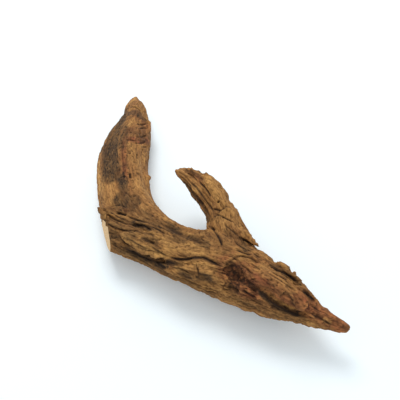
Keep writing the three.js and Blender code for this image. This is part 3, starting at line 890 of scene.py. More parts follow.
class Surface:
    """The wood's skin, to find places on."""

    REACH = 2.0  # metres that a ray runs
    SPACING = 1.5  # millimetres, or picture pixels, between the places of a route
    EASING = 3  # how many times a route's places are averaged with their neighbours
    LIFTS = (0.03, 0.015, 0.045)  # metres up at which a place off the wood looks for the nearest wood

    def __init__(self, wood: Object, view: PictureView, limbs: dict[LimbName, Limb]) -> None:
        """Sorts the skin's faces.

        Args:
            wood: The object.
            view: The camera that the marks' places are seen by.
            limbs: The limbs that other marks' places are counted on.
        """
        self.tree = BVHTree.FromObject(wood, bpy.context.evaluated_depsgraph_get())
        self.view = view
        self.limbs = limbs

    def seen(self, across: float, down: float) -> tuple[Array, Array]:
        """The skin's place under a point of the picture, or the nearest where the point is off the wood.

        Args:
            across: Pixels from the left.
            down: Pixels from the top.

        Returns:
            The place and the normal there.
        """
        eye = Vector(self.view.eye / METRE)
        way = Vector(self.view.direction(across, down))
        spot, normal, _, _ = self.tree.ray_cast(eye, way, self.REACH)
        if spot is None:
            for lift in self.LIFTS:
                reach = (eye.z - lift) / -way.z
                near, slope, _, gap = self.tree.find_nearest(eye + way * reach)
                if spot is None or gap < least:
                    spot, normal, least = near, slope, gap
        return np.array(spot) * METRE, np.array(normal)

    def round_limb(self, name: LimbName, share: float, degrees: float) -> tuple[Array, Array]:
        """The skin's place round a limb.

        Args:
            name: The limb.
            share: Share of its stations.
            degrees: Turn round it.

        Returns:
            The place and the normal there.
        """
        start, way = self.limbs[name].outward(share, degrees)
        spot, normal, _, _ = self.tree.ray_cast(Vector(start / METRE), Vector(way), self.REACH)
        if spot is None:
            spot, normal, _, _ = self.tree.find_nearest(Vector(start / METRE))
        return np.array(spot) * METRE, np.array(normal)

    def route(self, path: Path, limb: LimbName | None) -> tuple[Array, Array]:
        """A path laid on the skin.

        Args:
            path: Its places, as a mark gives them.
            limb: The limb that they are counted on, or None for the picture.

        Returns:
            The route's points and the normals there.
        """
        knots = np.array(path, float)
        measure = np.array([1.0, 1.0]) if limb is None else np.array([self.limbs[limb].length, 0.35])
        gaps = np.linalg.norm(np.diff(knots * measure, axis=0), axis=1)
        far = np.concatenate([[0.0], np.cumsum(gaps)])
        steps = max(1, int(far[-1] / self.SPACING)) if len(knots) > 1 else 0
        marks = np.linspace(0.0, far[-1], steps + 1)
        places = np.stack([np.interp(marks, far, column) for column in knots.T], axis=1)
        found = [self.seen(*one) if limb is None else self.round_limb(limb, *one) for one in places]
        spots, normals = np.array([one[0] for one in found]), np.array([one[1] for one in found])
        for _ in range(self.EASING):
            for table in (spots, normals):
                table[1:-1] = 0.25 * table[:-2] + 0.5 * table[1:-1] + 0.25 * table[2:]
        return spots, normals / np.linalg.norm(normals, axis=1)[:, None]


@dataclass(frozen=True)
class Near:
    """Points near a route: which they are, how far from it, what share of the way along it, by which
    of its steps, and how far to its left."""

    index: Array
    away: Array
    share: Array
    row: Array
    side: Array


def near_route(points: Array, route: Array, normals: Array, reach: float) -> Near:
    """The points within reach of a route.

    Args:
        points: Rows of x, y, z.
        route: The route's points.
        normals: The skin's normals there.
        reach: How far away a point still counts.

    Returns:
        The points and their places by the route.
    """
    low, high = route.min(axis=0) - reach, route.max(axis=0) + reach
    index = np.flatnonzero(((points > low) & (points < high)).all(axis=1))
    if len(route) == 1:
        route, normals = np.repeat(route, 2, axis=0), np.repeat(normals, 2, axis=0)
    step, part, off = follow(points[index], route)
    away = np.linalg.norm(off, axis=1)
    strides = np.diff(route, axis=0)
    lengths = np.sqrt(np.maximum((strides**2).sum(axis=1), 1e-9))
    left = np.cross(normals[:-1], strides) / lengths[:, None]
    keep = away < reach
    step, share = step[keep], (step + part)[keep] / len(strides)
    return Near(index[keep], away[keep], share, step, (off[keep] * left[step]).sum(axis=1))


@dataclass(frozen=True)
class Profile:
    """The cross-section of a crack, groove or ridge.

    Its form is 1 less the distance to the power flank, all to the power sides. It is sunk where way
    is -1 and raised where way is 1, and dark is how much painted shade it holds.
    """

    flank: int
    sides: float
    ragged: float
    way: int
    dark: float


PROFILES = {
    MarkKind.CRACK: Profile(1, 0.8, 0.3, -1, 1.3),
    MarkKind.GROOVE: Profile(2, 1.5, 0.3, -1, 1.0),
    MarkKind.RIDGE: Profile(2, 1.3, 0.25, 1, 0.0),
}


class Carver:
    """Lays marks and stains on a carving."""

    RAGGED = 0.35  # how far random wear shifts a mark's edge, as a share of its width
    BROAD, NARROW = 3.5, 1.6  # widths that ledges and knots reach, and that other marks do
    TAPER = 0.2  # share of a path over which a mark fades in, and out again
    BLUR = 1.7  # radii that a stain reaches
    STAIN_EDGE = (0.7, 1.12)  # where a dark stain starts to fade and is gone, in radii
    TINT_EDGE = (0.4, 1.25)  # the same for the softer tones

    def __init__(self, carving: Carving, surface: Surface, grain: GrainField) -> None:
        """Takes up a carving.

        Args:
            carving: The wood's mesh.
            surface: Its skin before it is carved.
            grain: Its grain.
        """
        self.carving = carving
        self.surface = surface
        self.wear = grain.pattern(41, 2.2, 7.0, 2)
        self.tones = {tone: np.zeros(len(carving.points)) for tone in Tone}

    def mark(self, one: Mark) -> None:
        """Carves one mark.

        Args:
            one: The mark.
        """
        route, normals = self.surface.route(one.path, one.limb)
        wide = self.BROAD if one.kind in (MarkKind.LEDGE, MarkKind.KNOT) else self.NARROW
        near = near_route(self.carving.points, route, normals, one.width * wide)
        wear = self.wear[near.index]
        away = near.away / one.width
        worn = away * (1 + self.RAGGED * wear)
        fade = np.clip(np.minimum(near.share, 1 - near.share) / self.TAPER, 0.0, 1.0) ** 0.7
        if one.kind in PROFILES:
            form = PROFILES[one.kind]
            shape = np.clip(1 - worn**form.flank, 0.0, 1.0) ** form.sides * fade
            shape = shape * (1 + form.ragged * wear)
            move, dark = form.way * one.depth * shape, form.dark * shape
        elif one.kind is MarkKind.LEDGE:
            move, dark = self.ledge(one, near, wear, fade)
        elif one.kind is MarkKind.HOLLOW:
            shape = np.clip(1 - worn**2, 0.0, 1.0) ** 1.2
            rim = np.exp(-((away - 1.15) ** 2) / 0.06)
            # A hollow's painted shade follows its depth.
            move, dark = one.depth * (0.12 * rim - shape), shape
        else:
            middle = len(route) // 2
            move, dark = self.knot(one, near, route[middle], normals[middle], worn)
        facing = (self.carving.normals[near.index] * normals[near.row]).sum(axis=1)
        facing = smooth_step(-0.15, 0.35, facing)
        move, dark = move * facing, dark * facing
        if one.kind in (MarkKind.CRACK, MarkKind.GROOVE):
            self.carving.cut[near.index] = np.minimum(self.carving.cut[near.index], move)
        else:
            self.carving.move[near.index] += move
        # The mark's darkness is painted shade in its recess or under its step.
        shade = one.dark * np.clip(dark, 0, 1)
        self.carving.dark[near.index] = np.maximum(self.carving.dark[near.index], shade)

    def ledge(self, one: Mark, near: Near, wear: Array, fade: Array) -> tuple[Array, Array]:
        """A worn step along a path, raised on its left, with painted shade at its foot.

        Args:
            one: The mark.
            near: The points near it.
            wear: The random wear there.
            fade: How the mark fades towards its ends.

        Returns:
            How far each point moves, and how dark it gets.
        """
        off = near.side + 0.9 * wear
        raised = smooth_step(-0.5, 0.7, off)
        high = raised * np.exp(-np.clip(off, 0, None) / one.width)
        low = (1 - raised) * np.exp(np.clip(off, None, 0) / (0.45 * one.width))
        close = fade * np.clip(self.BROAD - near.away / one.width, 0.0, 1.0)
        # Painted shade lies at the step's foot.
        foot = np.exp(-((off + 0.6) ** 2) / 1.2)
        return one.depth * (0.75 * high - 0.45 * low) * close, foot * close

    def knot(self, one: Mark, near: Near, centre: Array, out: Array,
             worn: Array) -> tuple[Array, Array]:
        """A sunken knot: a torn hollow with curled fibres that run into it.

        Args:
            one: The mark.
            near: The points near it.
            centre: Its middle.
            out: The skin's normal there.
            worn: Distances from its path, as shares of its width.

        Returns:
            How far each point moves, and how much painted shade its bowl gets.
        """
        across = np.cross(out, (0.0, 0.0, 1.0))
        across /= np.linalg.norm(across)
        above = np.cross(out, across)
        spots = self.carving.points[near.index]
        off = spots - centre
        turn = np.arctan2(off @ above, off @ across) + 0.5 * np.sin(near.away / 2.5)
        spokes = np.stack([2.6 * np.cos(turn), 2.6 * np.sin(turn), near.away / 4.5], axis=1)
        fibre = 0.6 * Noise(77).layered(spokes, 3) + 0.6 * Noise(78).layered(spots / 2.6, 2)
        bowl = np.clip(1 - worn**2, 0.0, 1.0) ** 0.8
        skirt = np.exp(-((near.away / one.width - 0.7) ** 2) / 0.4)
        move = -one.depth * bowl + one.depth * 0.42 * fibre * skirt
        move += 0.2 * one.depth * np.exp(-((near.away / one.width - 1.3) ** 2) / 0.08)
        # Painted shade fills the bowl, broken where the fibres rise.
        return move, bowl**0.6 * np.clip(0.75 - 1.1 * fibre, 0.12, 1)

    def stain(self, one: Stain) -> None:
        """Lays one stain.

        Args:
            one: The stain.
        """
        route, normals = self.surface.route(one.path, one.limb)
        near = near_route(self.carving.points, route, normals, one.radius * self.BLUR)
        edge = near.away / one.radius + 0.28 * self.wear[near.index]
        start, done = self.STAIN_EDGE if one.tone is Tone.DARK else self.TINT_EDGE
        amount = one.strength * (1 - smooth_step(start, done, edge))
        tone = self.tones[one.tone]
        tone[near.index] = np.maximum(tone[near.index], amount)


@dataclass(frozen=True)
class Split:
    """One size of the random splits along the grain: its spacing, how thin, how deep and how much painted
    shade it holds.
    """

    seed: int
    across: float
    along: float
    sharp: float
    depth: float
    dark: float

    def line(self, pattern: Array) -> Array:
        """Thin lines where a pattern passes through nought."""
        return np.exp(-((np.abs(pattern) / self.sharp) ** 1.4))


@dataclass(frozen=True)
class Cut:
    """A plane that cuts the wood: a point of it, the way out, and how wide the wood is there."""

    point: Place
    out: Place
    reach: float

    @property
    def place(self) -> Array:
        """The point in the solid model's frame."""
        return np.array(self.point) + STATION_ORIGIN

    @property
    def normal(self) -> Array:
        """The unit way out."""
        way = np.array(self.out)
        return way / np.linalg.norm(way)


@dataclass(frozen=True)
class SawCut(Cut):
    """The cut at the stub's end, with a broken edge above it.

    Rise and slant are the line along which the wood above the cut broke off. Skin is how near the
    cut the wood's skin stays crisp, and flat how near it a face counts as sawn. Points not more than
    near past it are pressed flat, and fade is how far under it the grain starts and is full.
    """

    rise: float = 6.2
    slant: tuple[float, float] = (0.37, 0.93)
    skin: float = 1.7
    flat: float = 0.15
    near: float = 0.6
    fade: tuple[float, float] = (0.5, 2.5)

    def past(self, points: Array, up: Array) -> tuple[Array, Array]:
        """Where points lie by the cut.

        Args:
            points: Rows of x, y, z.
            up: The way that the broken line's rise is counted.

        Returns:
            How far out past its plane each is, and whether it is near the sawn part of that plane.
        """
        off = points - self.place
        rise, aside = self.slant
        broken = rise * off @ up - aside * off[:, 0] > self.rise
        return off @ self.normal, (np.linalg.norm(off, axis=1) < self.reach) & ~broken


def srgb(red: int, green: int, blue: int) -> Colour:
    """A picture's colour as the light values that a material takes.

    Args:
        red: 0 to 255.
        green: 0 to 255.
        blue: 0 to 255.

    Returns:
        Red, green, blue and 1.
    """
    light = [(part / 255 / 12.92) if part <= 10 else ((part / 255 + 0.055) / 1.055) ** 2.4
             for part in (red, green, blue)]
    return (*light, 1.0)


def factors(*steps: Colour) -> Stops:
    """A ramp of factors for a colour, from steps of place, red, green and blue."""
    return tuple((place, (*colour, 1.0)) for place, *colour in steps)


class NodeBench:
    """Short ways to add and link a material's nodes."""

    def __init__(self, name: str) -> None:
        """Starts a material.

        Args:
            name: Its name.
        """
        self.material = bpy.data.materials.new(name)
        self.material.use_nodes = True
        self.tree = self.material.node_tree
        self.shader = self.tree.nodes["Principled BSDF"]

    def add(self, kind: str, **settings: object) -> bpy.types.Node:
        """Adds a node.

        Args:
            kind: The node's type, without its ShaderNode prefix.
            **settings: Properties of the node to set.

        Returns:
            The node.
        """
        node = self.tree.nodes.new("ShaderNode" + kind)
        for name, value in settings.items():
            setattr(node, name, value)
        return node

    def link(self, source: Socket, target: Socket) -> None:
        """Links two sockets."""
        self.tree.links.new(source, target)

    def feed(self, source: Socket | float | tuple[float, ...],
             target: Socket) -> None:
        """Links a socket, or sets a plain value.

        Args:
            source: The socket or the value.
            target: Where it goes.
        """
        if isinstance(source, Socket):
            self.link(source, target)
        else:
            target.default_value = source

    def attribute(self, name: str) -> bpy.types.Node:
        """A node that reads one of the mesh's attributes."""
        return self.add("Attribute", attribute_name=name)

    def set(self, node: bpy.types.Node, **values: object) -> bpy.types.Node:
        """Sets or links some of a node's inputs.

        Args:
            node: The node.
            **values: Sockets or plain values, by the inputs' names, with _ for a space.

        Returns:
            The same node.
        """
        for name, value in values.items():
            self.feed(value, node.inputs[name.replace("_", " ")])
        return node

    def noise(self, vector: Socket, along: float, scale: float, detail: float,
              rough: float = 0.55) -> Socket:
        """A noise pattern.

        Args:
            vector: The coordinates.
            along: What their third part is multiplied by first, less than 1 to draw the pattern out.
            scale: The noise's scale.
            detail: Its layers.
            rough: How strong the finer layers are.

        Returns:
            The pattern's value socket.
        """
        place = self.set(self.add("Mapping"), Scale=(1.0, 1.0, along), Vector=vector)
        node = self.set(self.add("TexNoise"), Scale=scale, Detail=detail, Roughness=rough,
                        Vector=place.outputs["Vector"])
        return node.outputs["Fac"]

    def finish(self, colour: Socket, height: Socket, strength: float, distance: float) -> None:
        """Links the finished colour and relief to the shader.

        Args:
            colour: The surface's colour.
            height: Its fine relief.
            strength: How strong the relief is.
            distance: How high it is, in metres.
        """
        bump = self.set(self.add("Bump"), Strength=strength, Distance=distance, Height=height)
        self.set(self.shader, Base_Color=colour, Normal=bump.outputs["Normal"])

    def ramp(self, value: Socket, stops: Stops) -> Socket:
        """A colour ramp.

        Args:
            value: What it reads.
            stops: Its positions and colours.

        Returns:
            Its colour socket.
        """
        node = self.add("ValToRGB")
        elements = node.color_ramp.elements
        while len(elements) < len(stops):
            elements.new(0.5)
        for element, (place, colour) in zip(elements, stops):
            element.position = place
            element.color = colour
        self.link(value, node.inputs["Fac"])
        return node.outputs["Color"]

    def stretch(self, value: Socket, low: float, high: float,
                to_low: float = 0.0, to_high: float = 1.0) -> Socket:
        """A value moved from one range to another.

        Args:
            value: What it reads.
            low: Where the range starts.
            high: Where it ends.
            to_low: What the start becomes.
            to_high: What the end becomes.

        Returns:
            The result's socket.
        """
        node = self.add("MapRange", clamp=True)
        self.set(node, From_Min=low, From_Max=high, To_Min=to_low, To_Max=to_high, Value=value)
        return node.outputs["Result"]

    def maths(self, how: str, one: Socket, two: Socket | float) -> Socket:
        """Two values put together.

        Args:
            how: The operation.
            one: The first value.
            two: The second, a socket or a number.

        Returns:
            The result's socket.
        """
        node = self.add("Math", operation=how)
        self.link(one, node.inputs[0])
        self.feed(two, node.inputs[1])
        return node.outputs["Value"]

    def mix(self, share: Socket | float, one: Socket,
            two: Socket | tuple[float, ...], how: str = "MIX") -> Socket:
        """Two colours mixed.

        Args:
            share: How much of the second.
            one: The first colour.
            two: The second, a socket or a colour.
            how: The way of mixing.

        Returns:
            The result's socket.
        """
        node = self.add("Mix", data_type="RGBA", blend_type=how, clamp_result=False)
        self.feed(share, node.inputs[0])
        self.link(one, node.inputs[6])
        self.feed(two, node.inputs[7])
        return node.outputs[2]


@dataclass(frozen=True)
class WeatheredWood:
    """Dry weathered wood: brown streaks, stains, red heartwood, painted shade in hollows and cracks, and
    pale worn edges with a painted highlight on raised relief.
    """

    name: str = "weathered_wood"
    brown: Colour = srgb(110, 72, 38)
    ochre: Colour = srgb(152, 106, 58)
    tan: Colour = srgb(181, 133, 76)
    stain: Colour = srgb(78, 58, 36)
    charcoal: Colour = srgb(46, 34, 24)
    red: Colour = srgb(136, 78, 49)
    pale: Colour = srgb(198, 148, 84)
    # The colour of the painted shade laid into hollows, cracks, pits and under ledges.
    painted_recess_shade: Colour = srgb(36, 23, 15)
    # How far fibres, specks and grit darken or lighten the colour: places in the pattern, and factors.
    furrows: Stops = factors((0.32, 0.6, 0.58, 0.56), (0.5, 0.98, 0.98, 0.98), (0.68, 1.2, 1.19, 1.16))
    specks: Stops = factors((0.36, 0.5, 0.48, 0.46), (0.46, 0.98, 0.98, 0.98), (0.7, 1.18, 1.16, 1.14))
    grits: Stops = factors((0.38, 0.56, 0.52, 0.5), (0.5, 1.0, 0.99, 0.98), (0.62, 1.4, 1.33, 1.24))
    roughness: float = 0.85
    gloss: float = 0.25
    bump_strength: float = 0.7
    bump_height: float = 0.0009

    def build(self) -> bpy.types.Material:
        """Builds the material.

        Returns:
            The material, which reads the attributes grain, tone and relief.
        """
        bench = NodeBench(self.name)
        grain = bench.attribute("grain").outputs["Vector"]
        tone = bench.add("SeparateColor")
        bench.link(bench.attribute("tone").outputs["Color"], tone.inputs["Color"])
        relief = bench.add("SeparateColor")
        bench.link(bench.attribute("relief").outputs["Color"], relief.inputs["Color"])
        dark, red, pale = (tone.outputs[name] for name in ("Red", "Green", "Blue"))
        # The relief attribute: painted shade in hollows, a pale painted highlight with some wear on
        # raised relief, and the marks' painted shade.
        hollow, worn, crack = (relief.outputs[name] for name in ("Red", "Green", "Blue"))

        streak = bench.noise(grain, 0.24, 230.0, 4.0, 0.68)
        fibre = bench.noise(grain, 0.24, 640.0, 3.0, 0.62)
        speck = bench.noise(grain, 0.5, 560.0, 3.0, 0.65)
        blotch = bench.noise(grain, 0.4, 85.0, 3.0, 0.6)
        grit = bench.noise(grain, 0.4, 290.0, 1.0, 0.6)

        colour = bench.ramp(streak, ((0.3, self.brown), (0.5, self.ochre), (0.68, self.tan)))
        paleness = bench.maths("MULTIPLY", pale, bench.stretch(streak, 0.36, 0.6, 0.4, 0.85))
        colour = bench.mix(paleness, colour, self.pale)
        redness = bench.maths("MULTIPLY", red, bench.stretch(streak, 0.35, 0.65, 0.55, 1.0))
        colour = bench.mix(redness, colour, self.red)
        mottle = bench.maths("MULTIPLY", bench.stretch(blotch, 0.38, 0.6, 0.5, 1.0),
                             bench.stretch(grit, 0.4, 0.58, 0.66, 1.22))
        darkness = bench.maths("MULTIPLY", dark, mottle)
        colour = bench.mix(bench.stretch(darkness, 0.0, 0.9, 0.0, 0.88), colour, self.stain)
        burnt = bench.maths("MULTIPLY", bench.stretch(darkness, 0.55, 1.1, 0.0, 0.9),
                            bench.stretch(speck, 0.44, 0.56, 1.0, 0.1))
        colour = bench.mix(burnt, colour, self.charcoal)
        # Fine fibres, darker in their furrows, with coarser grit where the wood is red or stained.
        stained = bench.maths("MAXIMUM", red, dark)
        for share, pattern, ramp in ((1.0, fibre, self.furrows), (1.0, speck, self.specks),
                                     (stained, grit, self.grits)):
            colour = bench.mix(share, colour, bench.ramp(pattern, ramp), "MULTIPLY")
        # Pale worn edges with a painted highlight on raised relief, then painted shade in hollows and in
        # the marks' cracks, pits and ledge feet.
        for share, low, high, most, paint in (
                (worn, 0.0, 1.0, 0.3, self.pale), (hollow, 0.0, 1.0, 0.58, self.painted_recess_shade),
                (crack, 0.05, 0.9, 0.92, self.painted_recess_shade)):
            colour = bench.mix(bench.stretch(share, low, high, 0.0, most), colour, paint)
        bench.set(bench.shader, Roughness=self.roughness, Specular_IOR_Level=self.gloss)
        height = bench.maths("ADD", bench.maths("MULTIPLY", fibre, 0.7),
                             bench.maths("MULTIPLY", speck, 0.3))
        bench.finish(colour, height, self.bump_strength, self.bump_height)
        return bench.material


@dataclass(frozen=True)
class SawnWood:
    """The pale saw cut: growth rings round the pith and the saw's fine marks."""

    name: str = "sawn_wood"
    early: Colour = srgb(228, 190, 138)
    late: Colour = srgb(214, 172, 120)
    roughness: float = 0.75
    bump_strength: float = 0.35
    bump_height: float = 0.0003
    pith: Place = (-110.0, -33.0, 26.0)

    def build(self) -> bpy.types.Material:
        """Builds the material, which reads the object's own coordinates."""
        bench = NodeBench(self.name)
        place = bench.set(bench.add("Mapping"), Vector=bench.add("TexCoord").outputs["Object"],
                          Location=-(np.array(self.pith) + STATION_ORIGIN) / METRE).outputs["Vector"]
        rings = bench.set(bench.add("TexWave", wave_type="RINGS", rings_direction="SPHERICAL"),
                          Scale=150.0, Distortion=9.0, Detail=3.0, Detail_Scale=0.9, Vector=place)
        colour = bench.ramp(rings.outputs["Fac"], ((0.25, self.early), (0.8, self.late)))
        speck = bench.noise(place, 0.4, 420.0, 3.0)
        colour = bench.mix(bench.stretch(speck, 0.45, 0.75, 0.0, 0.4), colour, self.late)
        saw = bench.set(bench.add("TexWave", wave_type="BANDS", bands_direction="Z"),
                        Scale=260.0, Distortion=1.2, Vector=place)
        bench.set(bench.shader, Roughness=self.roughness)
        bench.finish(colour, saw.outputs["Fac"], self.bump_strength, self.bump_height)
        return bench.material


def only(active: Object, *others: Object) -> None:
    """Selects some objects and nothing else.

    Args:
        active: The object that operators work on.
        *others: More objects to select.
    """
    bpy.ops.object.select_all(action="DESELECT")
    for one in (active, *others):
        one.select_set(True)
    bpy.context.view_layer.objects.active = active


@contextmanager
def edit_mode(*kinds: str) -> Iterator[None]:
    """Edit mode, turned to each of some kinds of element in turn, and then object mode again."""
    bpy.ops.object.mode_set(mode="EDIT")
    for kind in kinds:
        bpy.ops.mesh.select_mode(type=kind)
    yield
    bpy.ops.object.mode_set(mode="OBJECT")


def apply_modifier(wood: Object, kind: str, **settings: object) -> None:
    """Adds a modifier to an object and applies it.

    Args:
        wood: The object.
        kind: The modifier's type.
        **settings: Properties of the modifier to set.
    """
    only(wood)
    modifier = wood.modifiers.new(kind.lower(), kind)
    for name, value in settings.items():
        setattr(modifier, name, value)
    bpy.ops.object.modifier_apply(modifier=modifier.name)


@dataclass(frozen=True)
class Relief:
    """The wood's own relief: lumps, peeling layers, splits along the grain, and worm pits.

    The main limb's roughness is given for shares of its stations. The relief is full where a limb's
    half thickness is full_thickness, and goes down to the least share of that where it is thinner.
    """

    splits: tuple[Split, ...] = (
        Split(7, 7.0, 27.0, 0.13, 1.6, 0.5),
        Split(8, 4.0, 15.0, 0.16, 0.9, 0.32),
        Split(11, 2.3, 8.0, 0.24, 0.5, 0.22),
    )
    main_roughness: tuple[Numbers, Numbers] = (
        (0.0, 0.08, 0.2, 0.38, 0.44, 0.5, 0.62, 0.8, 1.0),
        (0.8, 0.6, 0.4, 0.35, 0.6, 1.0, 0.85, 1.0, 0.9),
    )
    branch_roughness: float = 0.8
    full_thickness: float = 12.0
    least: float = 0.35

    def roughness(self, grain: GrainField) -> Array:
        """How rough the wood is, before its smooth patches are taken off.

        Args:
            grain: The grain.

        Returns:
            One value a point, 0 to 1.
        """
        main = np.interp(grain.places[LimbName.MAIN].share, *self.main_roughness)
        return (grain.weights[LimbName.MAIN] * main + grain.weights[LimbName.SAWN]
                + grain.weights[LimbName.BRANCH] * self.branch_roughness)

    def along_grain(self, grain: GrainField, rough: Array) -> tuple[Array, Array]:
        """The wood's own grain: lumps, peeling layers, and splits that open along the fibres.

        Args:
            grain: The grain.
            rough: How rough the wood is.

        Returns:
            A height, and the painted shade in the splits, for each point.
        """
        height = 1.1 * grain.pattern(3, 10.0, 48.0, 3, self.layer_height)
        height += 0.9 * grain.pattern(5, 8.5, 19.0, 2) + 0.5 * grain.pattern(15, 3.4, 8.0, 2)
        height += 0.16 * grain.pattern(13, 1.3, 4.5, 2)
        dark = np.zeros(len(height))
        for one in self.splits:
            line = grain.pattern(one.seed, one.across, one.along, 2, one.line)
            where = grain.pattern(one.seed + 50, 2.2 * one.across, 0.8 * one.along, 1)
            line *= smooth_step(-0.05, 0.4, where)
            height -= one.depth * line
            # Painted shade in the split.
            dark = np.maximum(dark, one.dark * line)
        return height * rough, dark * np.clip(1.25 * rough, 0, 1)

    @staticmethod
    def layer_height(pattern: Array) -> Array:
        """Turns a smooth pattern into worn layers that end in steps."""
        part = 3.0 * pattern - np.floor(3.0 * pattern)
        return smooth_step(0.76, 0.96, part) - part + 0.45

    def worm_pits(self, carving: Carving, rough: Array) -> tuple[Array, Array]:
        """Small pits that dot the smoother wood.

        Args:
            carving: The wood's mesh.
            rough: How rough the wood is.

        Returns:
            A height, and the painted shade in the pits, for each point.
        """
        pit = smooth_step(0.5, 0.8, Noise(57).layered(carving.points / 3.1, 2)) * (1 - 0.6 * rough)
        # Painted shade in the pits.
        return -0.7 * pit, 0.45 * pit

    def strength(self, grain: GrainField, limbs: dict[LimbName, Limb]) -> Array:
        """How strong the relief is, less where a limb is thin.

        Args:
            grain: The grain.
            limbs: The limbs by name.

        Returns:
            One value a point, 1 at full strength.
        """
        total = 0.0
        for name, limb in limbs.items():
            row = grain.places[name].share * (len(limb.line) - 1)
            half = np.interp(row, np.arange(len(limb.line)), limb.halves.min(axis=1))
            total = total + grain.weights[name] * half
        return self.least + (1 - self.least) * np.minimum(1.0, total / self.full_thickness)


@dataclass
class Driftwood:
    """The whole piece of wood, from the solid model's nodes to the three dressed limbs.

    The skin is fused from cubes of the size coarse and keeps kept_share of its faces at the end. The
    collar is the branch's foot, where no crease is left. A splinter is crisp within the first length
    of splinter_crisp and worn past the second, and its root is sunk by splinter_root of its thickness.
    """

    view: PictureView
    coarse: float = 1.25
    smoothing: int = 5
    kept_share: float = 0.6
    overlap: float = 0.5
    arm_fork: Cut = Cut((-94, -6, 22), (-0.2, 0.97, 0.1), 46.0)
    branch_fork: Cut = Cut((-1, -31.5, 38.5), (-0.55, 0.82, 0.15), 21.0)
    collar_seen: tuple[float, float] = (222.0, 211.0)
    collar_reach: float = 20.0
    collar_smoothing: int = 40
    saw: SawCut = SawCut((-108.0, -33.5, 24.4), (-0.93, -0.3, 0.2), 27.0)
    splinter_crisp: tuple[float, float] = (3.0, 6.0)
    splinter_root: float = 0.6
    relief: Relief = Relief()
    highest: float = 58.4
    limbs: dict[LimbName, Limb] = field(default_factory=dict)

    def __post_init__(self) -> None:
        """Draws the limbs' middle lines."""
        for name, stations in STATIONS.items():
            self.limbs[name] = Limb(stations)

    def raw_wood(self) -> Object:
        """Unites copies of the solid model's nodes, the limbs pushed in a little to close their gaps.

        Returns:
            The united copy.
        """
        copies = []
        shifts = {"trunk": np.zeros(3), "long_arm": -self.arm_fork.normal * self.overlap,
                  "short_branch": -self.branch_fork.normal * self.overlap}
        for name, shift in shifts.items():
            node = frame["nodes"][name]
            copy = bpy.data.objects.new(name + "_copy", node.data.copy())
            copy.data.transform(node.matrix_world)
            copy.data.transform(Matrix.Translation(shift / METRE))
            bpy.context.scene.collection.objects.link(copy)
            copies.append(copy)
        wood, *others = copies
        for other in others:
            apply_modifier(wood, "BOOLEAN", operation="UNION", solver="EXACT", object=other)
            bpy.data.objects.remove(other)
        wood.name = "driftwood_blank"
        wood.data.materials.clear()
        with edit_mode():
            bpy.ops.mesh.select_all(action="SELECT")
            bpy.ops.mesh.remove_doubles(threshold=1e-6)
            bpy.ops.mesh.normals_make_consistent(inside=False)
        return wood

    def add_splinter(self, wood: Object, surface: Surface, one: Splinter) -> Array:
        """Models a splinter and joins it to the wood.

        Args:
            wood: The united copy.
            surface: Its skin.
            one: The splinter.

        Returns:
            The splinter's outer end.
        """
        root, normal = surface.seen(*one.root)
        eye, way = self.view.eye, self.view.direction(*one.tip)
        tip = self.view.level_with(root, *one.tip) - self.view.forward * one.lift
        if tip[2] > self.highest - one.thick:
            tip = eye + way * (eye[2] - self.highest + one.thick) / -way[2]
        root = root - normal * one.thick * self.splinter_root
        axis = tip - root
        length = float(np.linalg.norm(axis))
        turn = Vector(axis).to_track_quat("Z", "Y").to_euler()
        bpy.ops.object.select_all(action="DESELECT")
        bpy.ops.mesh.primitive_cylinder_add(
            vertices=8, radius=one.thick / METRE, depth=length / METRE,
            location=(root + tip) / 2 / METRE, rotation=turn)
        sliver = bpy.context.object
        with edit_mode():
            bpy.ops.mesh.select_all(action="DESELECT")
        for vertex in sliver.data.vertices:
            vertex.select = vertex.co.z > 0
        with edit_mode():
            bpy.ops.transform.resize(value=(one.end,) * 3, orient_type="GLOBAL")
            bpy.ops.mesh.select_all(action="SELECT")
            bpy.ops.mesh.subdivide(number_cuts=2, fractal=0.8, fractal_along_normal=0.5, seed=one.seed)
        bpy.ops.object.transform_apply(location=True, rotation=True, scale=True)
        only(wood, sliver)
        bpy.ops.object.join()
        return (tip + root) / 2 + axis * 0.2

    def fuse(self, wood: Object, slivers: list[Array]) -> None:
        """Fuses everything into one skin and wears it smooth, but for the saw cut and the splinters.

        Args:
            wood: The joined copy.
            slivers: The splinters' outer ends.
        """
        apply_modifier(wood, "REMESH", mode="VOXEL", voxel_size=self.coarse / METRE)
        skin = Carving(wood)
        out, near_cut = self.saw.past(skin.points, self.view.upward)
        crisp = (np.abs(out) < self.saw.skin) & near_cut & (skin.normals @ self.saw.normal > 0.25)
        sharp = np.zeros(len(crisp))
        for end in slivers:
            away = np.linalg.norm(skin.points - end, axis=1)
            sharp = np.maximum(sharp, 1 - smooth_step(*self.splinter_crisp, away))
        group = wood.vertex_groups.new(name="crisp")
        group.add(np.flatnonzero(crisp).tolist(), 1.0, "REPLACE")
        for low, weight in ((0.3, 0.35), (0.7, 0.75)):
            group.add(np.flatnonzero((sharp > low) & ~crisp).tolist(), weight, "REPLACE")
        apply_modifier(wood, "SMOOTH", vertex_group=group.name, invert_vertex_group=True,
                       factor=0.5, iterations=self.smoothing)
        # The crease where the branch's collar meets the trunk has weathered away.
        spot, _ = Surface(wood, self.view, self.limbs).seen(*self.collar_seen)
        near = 1 - smooth_step(0.55, 1.0, np.linalg.norm(skin.points - spot, axis=1) / self.collar_reach)
        collar = wood.vertex_groups.new(name="collar")
        collar.add(np.flatnonzero(near > 0.3).tolist(), 0.5, "REPLACE")
        collar.add(np.flatnonzero(near > 0.8).tolist(), 1.0, "REPLACE")
        apply_modifier(wood, "SMOOTH", vertex_group=collar.name, factor=0.5,
                       iterations=self.collar_smoothing)

